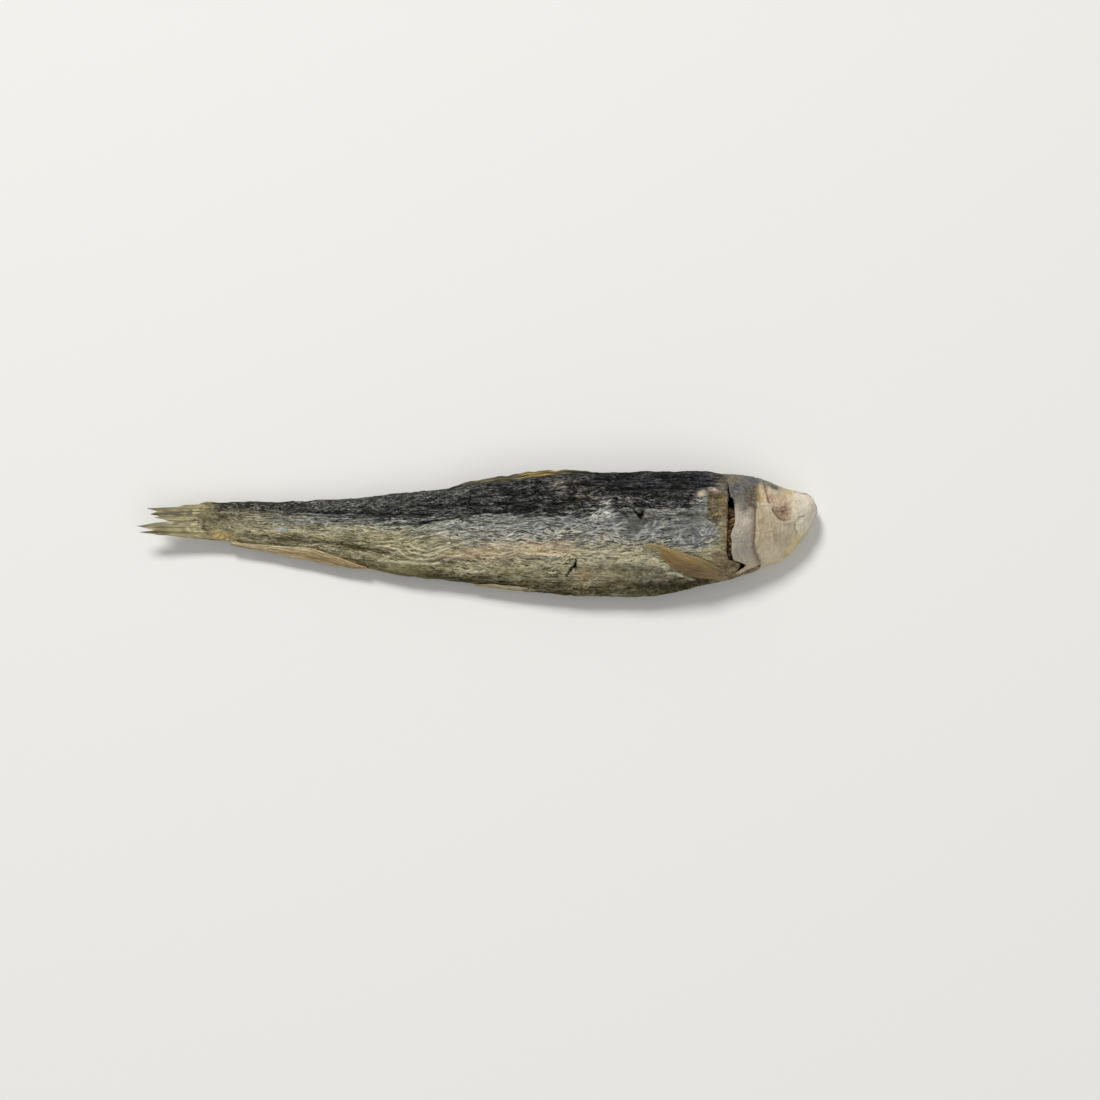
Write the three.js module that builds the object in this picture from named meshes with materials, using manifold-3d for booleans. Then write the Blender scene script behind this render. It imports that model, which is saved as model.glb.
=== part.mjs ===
// A whole freeze-dried sardine lying on its left flank, right side up.
// Millimetres, +Z up. +X runs from the tail to the snout and +Y from the belly to the back.
// The origin is on the surface that the fish lies on, under the middle of its bounding box.
// The fish is drawn straight and upright in its own plane, with x from the tail tip (0) to the
// snout (LENGTH), y up to the back and z out of the right flank. layDown() then rolls it and
// lets its spine sag to the surface, and the flank that dried against the tray is cut flat.

import * as THREE from "three";
import { mergeVertices } from "three/addons/utils/BufferGeometryUtils.js";
import Module from "manifold-3d";

const wasm = await Module();
wasm.setup();

// ---------- driving dimensions ----------
const LENGTH = 120; // tail tip to snout
const ROLL = THREE.MathUtils.degToRad(12); // the thin belly sags lower than the thick back
const FLAT_DEPTH = 0.6; // how much of the lower flank dried flat against the tray
const LOWER_FLANK = 0.88; // the lower flank's bulge against the upper flank's
const WIDEST = 0.24; // how far above mid-depth the body is widest, as a share of half the depth
const KEEL = 0.55; // how sharply the section closes at the belly

const GILL_CUT = 1.9; // depth of the gill opening under the gill cover's edge
const MOUTH_CUT = 0.5; // depth of the closed mouth's line
const PLATE = 0.4; // how far the gill cover, cheek and jaw plates stand out of the skin
const RIDGE_SHARE = 0.3; // how much of such a step reaches the ridge of the back and the keel
const FIN_SKIN = 0.6; // how far a folded pectoral fin stands out of the flank
const FIN_THICK = 0.7; // a fin's thickness where it stands free
const FIN_ROOT = 0.9; // how deep a fin's root sits in the body
const NOTCH = 0.5; // distance from a fin ray's tip to the notch in front of it
const WEB_THICK = 0.55; // thickness of the skin between the tail fin's rays

const EYE = { x: 113.4, y: 3.3, z: 2.5, radius: 1.75 }; // the dried eye, sunk in its socket
const SOCKET = { z: 5.7, radius: 2.75 }; // the hollow round the eye, on the same axis

const BODY_RINGS = 76; // sections along the body
const BODY_SIDES = 30; // faces round each section
const REACH = 20; // half width of the tools that cut or meet both flanks

// The body's sections from the tail to the snout: a point on the back, a point on the belly and
// half the width between the flanks. A section stands on the line through its two points.
const SECTIONS = [
  { back: [10, 2.6], belly: [10, 0.2], half: 0.5 },
  { back: [16, 4.4], belly: [16, -2.4], half: 1.4 },
  { back: [28, 4.5], belly: [28, -4.6], half: 2.5 },
  { back: [44, 5.6], belly: [44, -8.1], half: 3.9 },
  { back: [60, 7.2], belly: [60, -10.4], half: 5.2 },
  { back: [74, 8.7], belly: [75, -12.2], half: 6.1 },
  { back: [91, 9.3], belly: [89, -12.65], half: 6.5 },
  { back: [103, 8.95], belly: [102.5, -10.1], half: 6.3 },
  { back: [109, 8.5], belly: [109.5, -7.7], half: 5.6 },
  { back: [114, 7.1], belly: [114.2, -5.4], half: 4.6 },
  { back: [117.4, 6.2], belly: [117.3, -2.2], half: 3.3 },
  { back: [119.4, 5.2], belly: [119.3, 1.1], half: 1.8 },
  { back: [LENGTH, 3.6], belly: [LENGTH, 3.0], half: 0.2 },
];

// Height of the spine over the tray while the lower flank is still round, from tail to snout.
const SPINE = [
  [0, 5.6],
  [14, 3.9],
  [40, 4.4],
  [64, 5.3],
  [90, 5.9],
  [104, 5.5],
  [LENGTH, 2.7],
];

// ---------- meshes and solids ----------
function solidFrom(geometry) {
  const bare = geometry.clone();
  bare.deleteAttribute("normal");
  bare.deleteAttribute("uv");
  const merged = mergeVertices(bare, 1e-4);
  return new wasm.Manifold(
    new wasm.Mesh({
      numProp: 3,
      vertProperties: new Float32Array(merged.attributes.position.array),
      triVerts: new Uint32Array(merged.index.array),
    }),
  );
}

function geometryFrom(solid) {
  const { vertProperties, triVerts } = solid.getMesh();
  return new THREE.BufferGeometry()
    .setAttribute("position", new THREE.BufferAttribute(vertProperties, 3))
    .setIndex(new THREE.BufferAttribute(triVerts, 1));
}

function moveEachVertex(geometry, move) {
  const places = geometry.attributes.position;
  const point = new THREE.Vector3();
  for (let i = 0; i < places.count; i++) {
    move(point.fromBufferAttribute(places, i));
    places.setXYZ(i, point.x, point.y, point.z);
  }
  return geometry;
}

// A smooth line through a few [x, y] pairs.
function lineThrough(pairs) {
  return new THREE.CatmullRomCurve3(pairs.map(([x, y]) => new THREE.Vector3(x, y, 0)));
}

// The height of a line at x, for a line whose x only grows.
function heightAt(line, x) {
  let low = 0;
  let high = 1;
  for (let step = 0; step < 24; step++) {
    const middle = (low + high) / 2;
    if (line.getPoint(middle).x < x) low = middle;
    else high = middle;
  }
  return line.getPoint(low).y;
}

const backLine = lineThrough(SECTIONS.map((section) => section.back));
const bellyLine = lineThrough(SECTIONS.map((section) => section.belly));
const halfLine = lineThrough(SECTIONS.map((section, i) => [i, section.half]));
const spineLine = lineThrough(SPINE);

// ---------- the body ----------
// The point of the skin at a share of the way from tail to snout, and at an angle round the
// section from the back over the right flank. A positive offset makes the fish fatter, mostly
// at the flanks, and a negative one makes it leaner.
function skinPoint(share, angle, offset, point) {
  const back = backLine.getPoint(share);
  const belly = bellyLine.getPoint(share);
  const taper = Math.sin(Math.PI * share) ** 0.35; // an offset fades towards both ends
  const rise = Math.cos(angle);
  const side = Math.sin(angle);
  const grown = 1 + (2 * RIDGE_SHARE * offset * taper) / back.distanceTo(belly);
  point.lerpVectors(belly, back, 0.5 + 0.5 * rise * grown);
  const toBelly = (1 - rise) / 2;
  const width = Math.abs(side) ** (1 + KEEL * toBelly ** 2) * (1 + WIDEST * rise);
  const half = Math.max(0.1, halfLine.getPoint(share).y + offset * taper);
  point.z = Math.sign(side) * half * width;
  return point;
}

// A sphere whose poles become the tail root and the snout.
function bodySolid(offset = 0) {
  const ball = new THREE.SphereGeometry(1, BODY_SIDES, BODY_RINGS);
  ball.rotateZ(-Math.PI / 2); // the first pole to +X, where the snout is
  const spread = (point) => {
    const share = Math.acos(THREE.MathUtils.clamp(-point.x, -1, 1)) / Math.PI;
    const onPole = Math.hypot(point.y, point.z) < 1e-6;
    const angle = onPole ? 0 : Math.atan2(point.z, point.y);
    skinPoint(share, angle, offset, point);
    if (onPole) point.y = (backLine.getPoint(share).y + bellyLine.getPoint(share).y) / 2;
  };
  return solidFrom(moveEachVertex(ball, spread));
}

// ---------- outlines that are cut from, or stand on, both flanks ----------
function prism(shape, low = -REACH, high = REACH) {
  const extruded = new THREE.ExtrudeGeometry(shape, {
    depth: high - low,
    bevelEnabled: false,
    curveSegments: 8,
  });
  return solidFrom(extruded.translate(0, 0, low));
}

function shapeOf(points) {
  return new THREE.Shape(points.map(([x, y]) => new THREE.Vector2(x, y)));
}

function roundedShape(points, divisions = 24) {
  const outline = new THREE.SplineCurve([...points, points[0]].map(([x, y]) => new THREE.Vector2(x, y)));
  return new THREE.Shape(outline.getPoints(divisions).slice(0, -1));
}

// The gill opening: the wavy rear edge of the gill cover, and the trunk's edge behind it.
const COVER_EDGE = [
  [104.0, 7.6],
  [104.3, 5.0],
  [105.1, 3.8],
  [105.1, 0.3],
  [104.4, -1.7],
  [104.7, -4.9],
  [105.1, -6.2],
  [107.5, -7.7],
];
const TRUNK_EDGE = [
  [103.9, 7.5],
  [103.6, 4.2],
  [103.6, -2.1],
  [103.4, -4.4],
  [103.9, -6.1],
  [105.8, -7.2],
];

function curveThrough(pairs, divisions) {
  return new THREE.SplineCurve(pairs.map(([x, y]) => new THREE.Vector2(x, y))).getPoints(divisions);
}

function gillOpening() {
  const front = curveThrough(COVER_EDGE, 21);
  const rear = curveThrough(TRUNK_EDGE, 15);
  return prism(new THREE.Shape([...front, ...rear.reverse()]));
}

// The gill cover, and the cheek plate in front of it that ends at the eye.
const gillCover = shapeOf([
  ...COVER_EDGE,
  [109.5, -8.6],
  [112.4, -6.9],
  [110.3, -6.3],
  [109.2, -5.1],
  [108.7, -3.5],
  [108.6, 6.8],
]);
const cheekPlate = shapeOf([
  [109.0, 6.3],
  [109.1, -3.4],
  [109.6, -4.9],
  [110.6, -5.9],
  [112.8, -5.5],
  [115.0, -3.8],
  [115.6, -2.0],
  [115.5, 0.9],
  [113.8, 0.5],
  [112.2, 1.1],
  [111.0, 3.0],
  [111.0, 6.3],
]);
// The plate-like upper jaw bone beside the mouth.
const jawPlate = roundedShape([
  [115.9, 1.5],
  [116.2, -0.6],
  [117.0, -1.4],
  [118.0, -0.2],
  [119.0, 1.6],
  [118.2, 2.6],
]);
const mouthSlit = shapeOf([
  [LENGTH + 1, 1.9],
  [LENGTH + 1, 1.2],
  [116.6, -1.4],
]);

// The right and left pectoral fins, folded back against the flanks.
const pectoralFin = roundedShape([
  [104.2, -8.2],
  [100.6, -6.8],
  [95.4, -4.4],
  [92.0, -3.5],
  [89.0, -3.8],
  [91.4, -4.9],
  [94.2, -7.0],
  [98.6, -9.3],
  [103.2, -9.9],
]);

function ball(radius, z) {
  return solidFrom(new THREE.SphereGeometry(radius, 20, 12).translate(EYE.x, EYE.y, z));
}

// ---------- fins on the midline ----------
// A fin that stands on a line of the body. Its rays lean back by the trail, more towards its
// rear, and end in a ragged edge whose notches lie between the tips.
function midlineFin({ from, to, trail, height, line, rays }) {
  const roots = [];
  const tips = [];
  const towards = Math.sign(height);
  for (let i = 0; i <= rays; i++) {
    const share = i / rays;
    const x = THREE.MathUtils.lerp(from, to, share);
    const tipX = x - trail * (1 - share);
    const tall = height * Math.sin(Math.PI * THREE.MathUtils.lerp(0.2, 0.86, share));
    roots.push([x, heightAt(line, x) - towards * FIN_ROOT]);
    tips.push([tipX, heightAt(line, tipX) + tall]);
    if (i > 0) tips.push([tipX + NOTCH, heightAt(line, tipX + NOTCH) + 0.75 * tall]);
  }
  const ring = [...roots, ...tips.reverse()];
  const shape = shapeOf(towards > 0 ? ring : ring.reverse());
  return prism(shape, -FIN_THICK / 2, FIN_THICK / 2);
}

// ---------- tail fin ----------
// Two lobes that dried half shut. Their skin is torn between the tips of the rays.
const tailWeb = shapeOf([
  [17.0, 4.3],
  [13.4, 4.4],
  [8.5, 3.9],
  [7.6, 3.4],
  [2.6, 3.3],
  [4.2, 2.4],
  [6.0, 2.2],
  [3.9, 1.7],
  [5.3, 1.3],
  [4.6, 0.8],
  [6.0, 0.5],
  [2.4, 0.4],
  [1.0, -0.5],
  [5.0, -0.9],
  [2.6, -1.3],
  [7.7, -1.6],
  [11.4, -1.9],
  [17.0, -2.5],
]);
// Each ray runs from the tail root to a tip past the torn skin.
const TAIL_RAYS = [
  { tip: [1.6, 2.9], root: [17.0, 3.5] },
  { tip: [2.5, 1.9], root: [16.5, 2.4] },
  { tip: [3.5, 1.1], root: [16.0, 1.4] },
  { tip: [0, -0.2], root: [16.0, 0.4] },
  { tip: [0.4, -1.2], root: [16.5, -1.2] },
];

// A ray is a flattened cone, thick at the root and pointed at the tip.
function tailRay({ tip, root }, i) {
  const start = new THREE.Vector3(...root, 0);
  const end = new THREE.Vector3(...tip, 0.25 * (i % 2 ? 1 : -1));
  const cone = new THREE.CylinderGeometry(0.15, 0.85, start.distanceTo(end), 8, 3);
  cone.scale(1, 1, 0.7);
  cone.translate(0, start.distanceTo(end) / 2, 0);
  const turn = new THREE.Quaternion();
  turn.setFromUnitVectors(new THREE.Vector3(0, 1, 0), end.clone().sub(start).normalize());
  return solidFrom(cone.applyQuaternion(turn).translate(...start));
}

function tailFin() {
  let fin = prism(tailWeb, -WEB_THICK / 2, WEB_THICK / 2);
  TAIL_RAYS.forEach((ray, i) => {
    fin = fin.add(tailRay(ray, i));
  });
  return fin;
}

// ---------- the whole fish, straight ----------
function straightFish() {
  const plates = prism(gillCover).add(prism(cheekPlate)).add(prism(jawPlate));
  const foldedFins = bodySolid(FIN_SKIN).intersect(prism(pectoralFin));
  const dorsal = { from: 69, to: 82, trail: 13, height: 1.3, line: backLine, rays: 8 };
  const anal = { from: 18, to: 39, trail: 2, height: -1.0, line: bellyLine, rays: 10 };
  const pelvic = { from: 66, to: 69.5, trail: 7, height: -0.6, line: bellyLine, rays: 3 };

  let fish = bodySolid().add(bodySolid(PLATE).intersect(plates)).add(foldedFins);
  fish = fish.subtract(gillOpening().subtract(bodySolid(-GILL_CUT)));
  fish = fish.subtract(prism(mouthSlit).subtract(bodySolid(-MOUTH_CUT)));
  for (const side of [-1, 1]) {
    fish = fish.subtract(ball(SOCKET.radius, side * SOCKET.z)).add(ball(EYE.radius, side * EYE.z));
  }
  for (const fin of [dorsal, anal, pelvic]) fish = fish.add(midlineFin(fin));
  return fish.add(tailFin());
}

// ---------- laying it down ----------
function layDown(point) {
  const { y } = point;
  const z = point.z < 0 ? point.z * LOWER_FLANK : point.z;
  point.y = y * Math.cos(ROLL) - z * Math.sin(ROLL);
  point.z = y * Math.sin(ROLL) + z * Math.cos(ROLL) + heightAt(spineLine, point.x);
}

function build() {
  const lying = moveEachVertex(geometryFrom(straightFish()), layDown);
  const tray = new THREE.BoxGeometry(2 * LENGTH, LENGTH, LENGTH);
  tray.translate(LENGTH / 2, 0, FLAT_DEPTH - LENGTH / 2);
  const flattened = geometryFrom(solidFrom(lying).subtract(solidFrom(tray)));
  flattened.computeBoundingBox();
  const { min, max } = flattened.boundingBox;
  flattened.translate(-(min.x + max.x) / 2, -(min.y + max.y) / 2, -min.z);
  return flattened;
}

const skin = new THREE.MeshStandardMaterial({
  color: new THREE.Color(0.36, 0.35, 0.31),
  roughness: 0.7,
  metalness: 0,
});
const sardine = new THREE.Mesh(build(), skin);
sardine.name = "sardine";

const fish = new THREE.Group();
fish.add(sardine);

export default fish;
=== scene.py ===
"""A whole freeze-dried sardine lying on its left flank on a pale surface.

The fish is drawn straight and upright in millimetres, on a fish 120 mm long: x runs from the tail
tip (0) to the snout (120), y up to the back and z out of the right flank. lay_down() rolls it,
lets its spine sag and sets it into the CAD model's box.
"""

import itertools
import math

import bpy
import numpy as np
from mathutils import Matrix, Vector


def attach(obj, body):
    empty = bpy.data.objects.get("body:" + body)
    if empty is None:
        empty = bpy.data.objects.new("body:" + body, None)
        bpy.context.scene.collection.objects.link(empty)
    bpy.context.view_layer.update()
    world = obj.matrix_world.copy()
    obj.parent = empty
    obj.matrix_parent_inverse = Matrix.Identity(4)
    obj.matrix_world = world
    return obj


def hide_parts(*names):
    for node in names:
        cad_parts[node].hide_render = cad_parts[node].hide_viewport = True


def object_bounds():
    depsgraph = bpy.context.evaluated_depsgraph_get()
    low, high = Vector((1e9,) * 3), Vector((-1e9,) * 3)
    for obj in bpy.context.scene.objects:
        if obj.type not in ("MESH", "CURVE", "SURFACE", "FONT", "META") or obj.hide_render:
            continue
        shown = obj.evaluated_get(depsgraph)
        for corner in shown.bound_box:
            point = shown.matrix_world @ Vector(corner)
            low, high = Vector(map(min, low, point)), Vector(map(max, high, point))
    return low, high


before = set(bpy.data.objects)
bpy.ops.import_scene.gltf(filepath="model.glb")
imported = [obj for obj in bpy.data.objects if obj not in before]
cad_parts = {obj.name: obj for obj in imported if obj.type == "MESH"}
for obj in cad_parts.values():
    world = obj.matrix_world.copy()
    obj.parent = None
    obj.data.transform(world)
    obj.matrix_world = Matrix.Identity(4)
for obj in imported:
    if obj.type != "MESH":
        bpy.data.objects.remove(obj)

CAD_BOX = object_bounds()

# ---------- sizes of the fish, in millimetres ----------
LENGTH = 120
UNIT = (CAD_BOX[1].x - CAD_BOX[0].x) / LENGTH  # metres in each of these millimetres
ROLL = math.radians(12)  # how far the back is rolled up
FLAT_DEPTH = 0.6  # how much of the lower flank is pressed flat
FLAT_EDGE = 0.01  # how softly the flat bends up at its edge
LOWER_FLANK = 0.88  # the lower flank's bulge, beside that of the upper one
WIDEST = 0.24  # how much wider the section is by the back than halfway down
KEEL = 0.55  # how sharp the belly's keel is
RIDGE_SHARE = 0.3  # the share of an offset that the back and the belly take
BELLY_REACH = 12.5  # from the box's edge at the belly to the straight fish's axis

BACK = [(10, 3.6), (11.2, 4.15), (16, 4.4), (28, 4.5), (44, 5.6), (60, 7.2), (74, 8.7), (91, 9.3),
        (103, 8.95), (109, 8.5), (114, 7.1), (116.9, 6.3), (118.7, 5.9), (119.6, 5),
        (LENGTH, 3.6)]
BELLY = [(10, -0.9), (11.2, -1.75), (16, -2.4), (28, -4.6), (44, -8.1), (60, -10.4), (75, -12.2),
         (89, -12.65), (102.5, -10.1), (109.5, -7.7), (114.2, -5.4), (117.3, -2.2), (119.3, 1.1),
         (LENGTH, 3)]
HALF = [(10, 0.1), (11.8, 0.25), (16, 1.3), (28, 2.5), (44, 3.9), (60, 5.2), (74.5, 6.1), (90, 6.5),
        (102.75, 6.3), (109.25, 5.6), (114.1, 4.6), (117.35, 3.3), (119.35, 1.8), (LENGTH, 0.2)]
SPINE = [(0, 5.6), (14, 3.9), (40, 4.4), (64, 5.3), (90, 5.9), (104, 5.5), (LENGTH, 2.7)]


# ---------- numbers and noise ----------
def unit(vectors):
    """The same vectors, each of length one."""
    return vectors / np.maximum(np.linalg.norm(vectors, axis=-1, keepdims=True), 1e-9)


dice = np.random.default_rng(11)
TURNS = dice.permutation(256)
SLOPES = unit(dice.normal(size=(256, 3)))
SEED_STEP = 37  # how far apart the seeds start in TURNS
NOISE_REACH = 1.7  # brings noise to about -1 to 1
CREST_SLOPE = 2.2  # how sharp crests are


def three(size):
    """A size along x, y and z, where z has the size along y if it is left out."""
    return (*size, size[-1])[:3]


def noise(points, size, seed):
    """Smooth noise at each row of points, from about -1 to 1, in lumps of about a size."""
    points = points / np.array(three(size))
    cell = np.floor(points).astype(np.int64)
    inside = points - cell
    ease = inside**3 * (inside * (inside * 6 - 15) + 10)
    total = np.zeros(len(points))
    for corner in itertools.product((0, 1), repeat=3):
        place = cell + np.array(corner)
        pick = TURNS[(place[:, 0] + SEED_STEP * seed) & 255]
        pick = TURNS[(pick + place[:, 1]) & 255]
        pick = TURNS[(pick + place[:, 2]) & 255]
        slope = (SLOPES[pick] * (inside - corner)).sum(1)
        total += slope * np.where(corner, ease, 1 - ease).prod(1)
    return total * NOISE_REACH


def crests(points, size, seed):
    """Noise with sharp crests, from 0 in the hollows to 1 on the crests."""
    return 1 - np.minimum(1, CREST_SLOPE * np.abs(noise(points, size, seed)))


def smooth(low, high, value):
    """Rises softly from 0 where a value is at low to 1 where it is at high."""
    share = np.clip((value - low) / (high - low), 0, 1)
    return share * share * (3 - 2 * share)


def line_through(pairs):
    """The smooth height of a line through (x, y) pairs, as a function of x."""
    xs, ys = np.array(pairs, float).T
    gaps = np.diff(xs)
    steps = np.diff(ys) / gaps
    slopes = np.concatenate([
        steps[:1],
        (steps[:-1] * gaps[1:] + steps[1:] * gaps[:-1]) / (gaps[1:] + gaps[:-1]),
        steps[-1:],
    ])

    def height(x):
        i = np.clip(np.searchsorted(xs, x) - 1, 0, len(gaps) - 1)
        t = np.clip((x - xs[i]) / gaps[i], 0, 1)
        return (
            (1 + 2 * t) * (1 - t) ** 2 * ys[i]
            + t * (1 - t) ** 2 * gaps[i] * slopes[i]
            + t**2 * (3 - 2 * t) * ys[i + 1]
            - t**2 * (1 - t) * gaps[i] * slopes[i + 1]
        )

    return height


def distance_to(x, y, route):
    """How far each (x, y) is from a route of straight stretches."""
    best = np.full(np.shape(x), 1e9)
    for (ax, ay), (bx, by) in zip(route[:-1], route[1:]):
        dx, dy = bx - ax, by - ay
        t = np.clip(((x - ax) * dx + (y - ay) * dy) / (dx * dx + dy * dy), 0, 1)
        best = np.minimum(best, np.hypot(x - ax - t * dx, y - ay - t * dy))
    return best


def within(x, y, outline):
    """The distance to an outline, positive inside it and negative outside."""
    odd = np.zeros(np.shape(x), bool)
    ring = list(outline) + [outline[0]]
    for (ax, ay), (bx, by) in zip(ring[:-1], ring[1:]):
        if ay == by:
            continue
        crosses = (ay > y) != (by > y)
        odd ^= crosses & (x < ax + (y - ay) * (bx - ax) / (by - ay))
    return np.where(odd, 1, -1) * distance_to(x, y, ring)


def spot(x, y, middle_x, middle_y, wide, tall, tilt=0):
    """A soft round mark, 1 in its middle, with two radii and a tilt in degrees."""
    dx, dy = x - middle_x, y - middle_y
    turn = math.radians(tilt)
    along = dx * math.cos(turn) + dy * math.sin(turn)
    across = dy * math.cos(turn) - dx * math.sin(turn)
    return np.exp(-((along / wide) ** 2) - (across / tall) ** 2)


# ---------- the form of the fish ----------
back_line = line_through(BACK)
belly_line = line_through(BELLY)
half_line = line_through(HALF)
spine_line = line_through(SPINE)


def skin(x, angle, offset=0):
    """Points of the skin at x, and at an angle round the section from the back over the right
    flank. A positive offset lies outside the skin."""
    back, belly = back_line(x), belly_line(x)
    rise, side = np.cos(angle), np.sin(angle)
    half_depth = (back - belly) / 2 + RIDGE_SHARE * offset
    half = np.maximum(0.1, half_line(x) + offset)
    to_belly = (1 - rise) / 2
    z = half * np.abs(side) ** (1 + KEEL * to_belly**2) * (1 + WIDEST * rise)
    return np.stack([x + 0 * angle, (back + belly) / 2 + half_depth * rise, np.sign(side) * z], -1)


def angle_at(x, y):
    """The angle round the section where the right flank has the height y."""
    back, belly = back_line(x), belly_line(x)
    return np.arccos(np.clip((y - (back + belly) / 2) / ((back - belly) / 2), -1, 1))


def on_flank(x, y, side):
    """Points on the right (side 1) or left (side -1) flank."""
    return skin(x, angle_at(x, y)) * np.array([1, 1, side])


def lay_down(points):
    """From the straight fish in millimetres to the lying fish in metres."""
    x, y, z = points[..., 0], points[..., 1], points[..., 2]
    z = np.where(z < 0, z * LOWER_FLANK, z)
    across = y * math.cos(ROLL) - z * math.sin(ROLL)
    up = y * math.sin(ROLL) + z * math.cos(ROLL) + spine_line(x) - FLAT_DEPTH
    up = (up + np.sqrt(up * up + FLAT_EDGE)) / 2 - FLAT_EDGE
    lowest = CAD_BOX[0]
    placed = np.stack([x, across + BELLY_REACH, np.maximum(up, 0)], -1) * UNIT
    return placed + np.array([lowest.x, lowest.y, lowest.z])


# ---------- meshes ----------
def placed(name, data):
    """A new object in the scene."""
    made = bpy.data.objects.new(name, data)
    bpy.context.scene.collection.objects.link(made)
    return made


def build_mesh(name, points, faces, uvs, marks, material):
    """A smooth-shaded piece from points, faces, each corner's place on the map and, for each
    point, named numbers or vectors that the material reads."""
    mesh = bpy.data.meshes.new(name)
    mesh.from_pydata(lay_down(points).tolist(), [], faces)
    mesh.shade_smooth()
    layer = mesh.uv_layers.new(name="OFBake")
    layer.data.foreach_set("uv", np.asarray(uvs, np.float32).ravel())
    for mark, values in marks.items():
        values = np.asarray(values, np.float32)
        kind, field = ("FLOAT", "value") if values.ndim == 1 else ("FLOAT_VECTOR", "vector")
        stored = mesh.attributes.new(mark, kind, "POINT")
        stored.data.foreach_set(field, values.ravel())
    mesh.materials.append(material)
    piece = placed(name, mesh)
    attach(piece, "root")
    return piece


def tube_faces(rows, sides):
    """Quads of a tube of rows closed round, and where each corner lies on the map."""
    r, s = np.meshgrid(np.arange(rows - 1), np.arange(sides), indexing="ij")
    after = (s + 1) % sides
    here, there = r * sides, (r + 1) * sides
    quads = np.stack([here + s, here + after, there + after, there + s], -1)
    us = np.stack([r, r, r + 1, r + 1], -1) / (rows - 1)
    vs = np.stack([s, s + 1, s + 1, s], -1) / sides
    return quads.reshape(-1, 4), np.stack([us, vs], -1).reshape(-1, 2)


def tube(name, points, marks, material):
    """A piece from a grid of rows (rows, sides, 3), closed round, with a point at each end."""
    rows, sides = points.shape[:2]
    quads, uvs = tube_faces(rows, sides)
    faces = quads.tolist()
    here = np.arange(sides)
    after = (here + 1) % sides
    last = (rows - 1) * sides
    for end, first, second in ((0, after, here), (1, last + here, last + after)):
        tip = np.full(sides, rows * sides + end)
        faces += np.stack([tip, first, second], -1).tolist()
        vs = np.stack([here + 0.5, here + 1 - end, here + end], -1) / sides
        uvs = np.concatenate([uvs, np.stack([0 * vs + end, vs], -1).reshape(-1, 2)])

    def closed(values):
        """A grid's values in one row, with the means of its ends after them."""
        ends = np.stack([values[0].mean(0), values[-1].mean(0)])
        return np.concatenate([values.reshape(rows * sides, *values.shape[2:]), ends])

    full = {mark: closed(values) for mark, values in marks.items()}
    return build_mesh(name, closed(points), faces, uvs, full, material)


def outward(points):
    """Normals of a grid of rows that is closed round, from its neighbouring points."""
    round_about = np.roll(points, -1, 1) - np.roll(points, 1, 1)
    return unit(np.cross(round_about, np.gradient(points, axis=0)))


def skinned(name, grid, relief, coat, marks, material):
    """A tube that is raised by its relief, with its coat and marks given for each point."""
    marks = {**marks, "coat": coat.colour}
    marks = {mark: values.reshape(grid.shape[:2] + values.shape[1:]) for mark, values in marks.items()}
    return tube(name, grid + outward(grid) * relief.reshape(grid.shape[:2])[..., None], marks, material)


# ---------- materials ----------
LIGHTEST = (0.86, 0.84, 0.8)  # the lightest linear colour that a gain may reach


def linear(colour):
    """Linear red, green and blue from those of a screen, which go up to 255."""
    shares = np.array(colour) / 255
    return np.where(shares <= 0.04045, shares / 12.92, ((shares + 0.055) / 1.055) ** 2.4)


def opaque(colour):
    return (*linear(colour).tolist(), 1)


class Coat:
    """The colour of each point of a mesh, laid on in layers."""

    def __init__(self, count, colour):
        self.colour = np.tile(linear(colour), (count, 1))

    def lay(self, share, colour):
        self.colour += np.clip(share, 0, 1)[:, None] * (linear(colour) - self.colour)

    def dim(self, share):
        """Makes the colour darker by a share."""
        self.colour *= (1 - share)[:, None]


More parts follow.
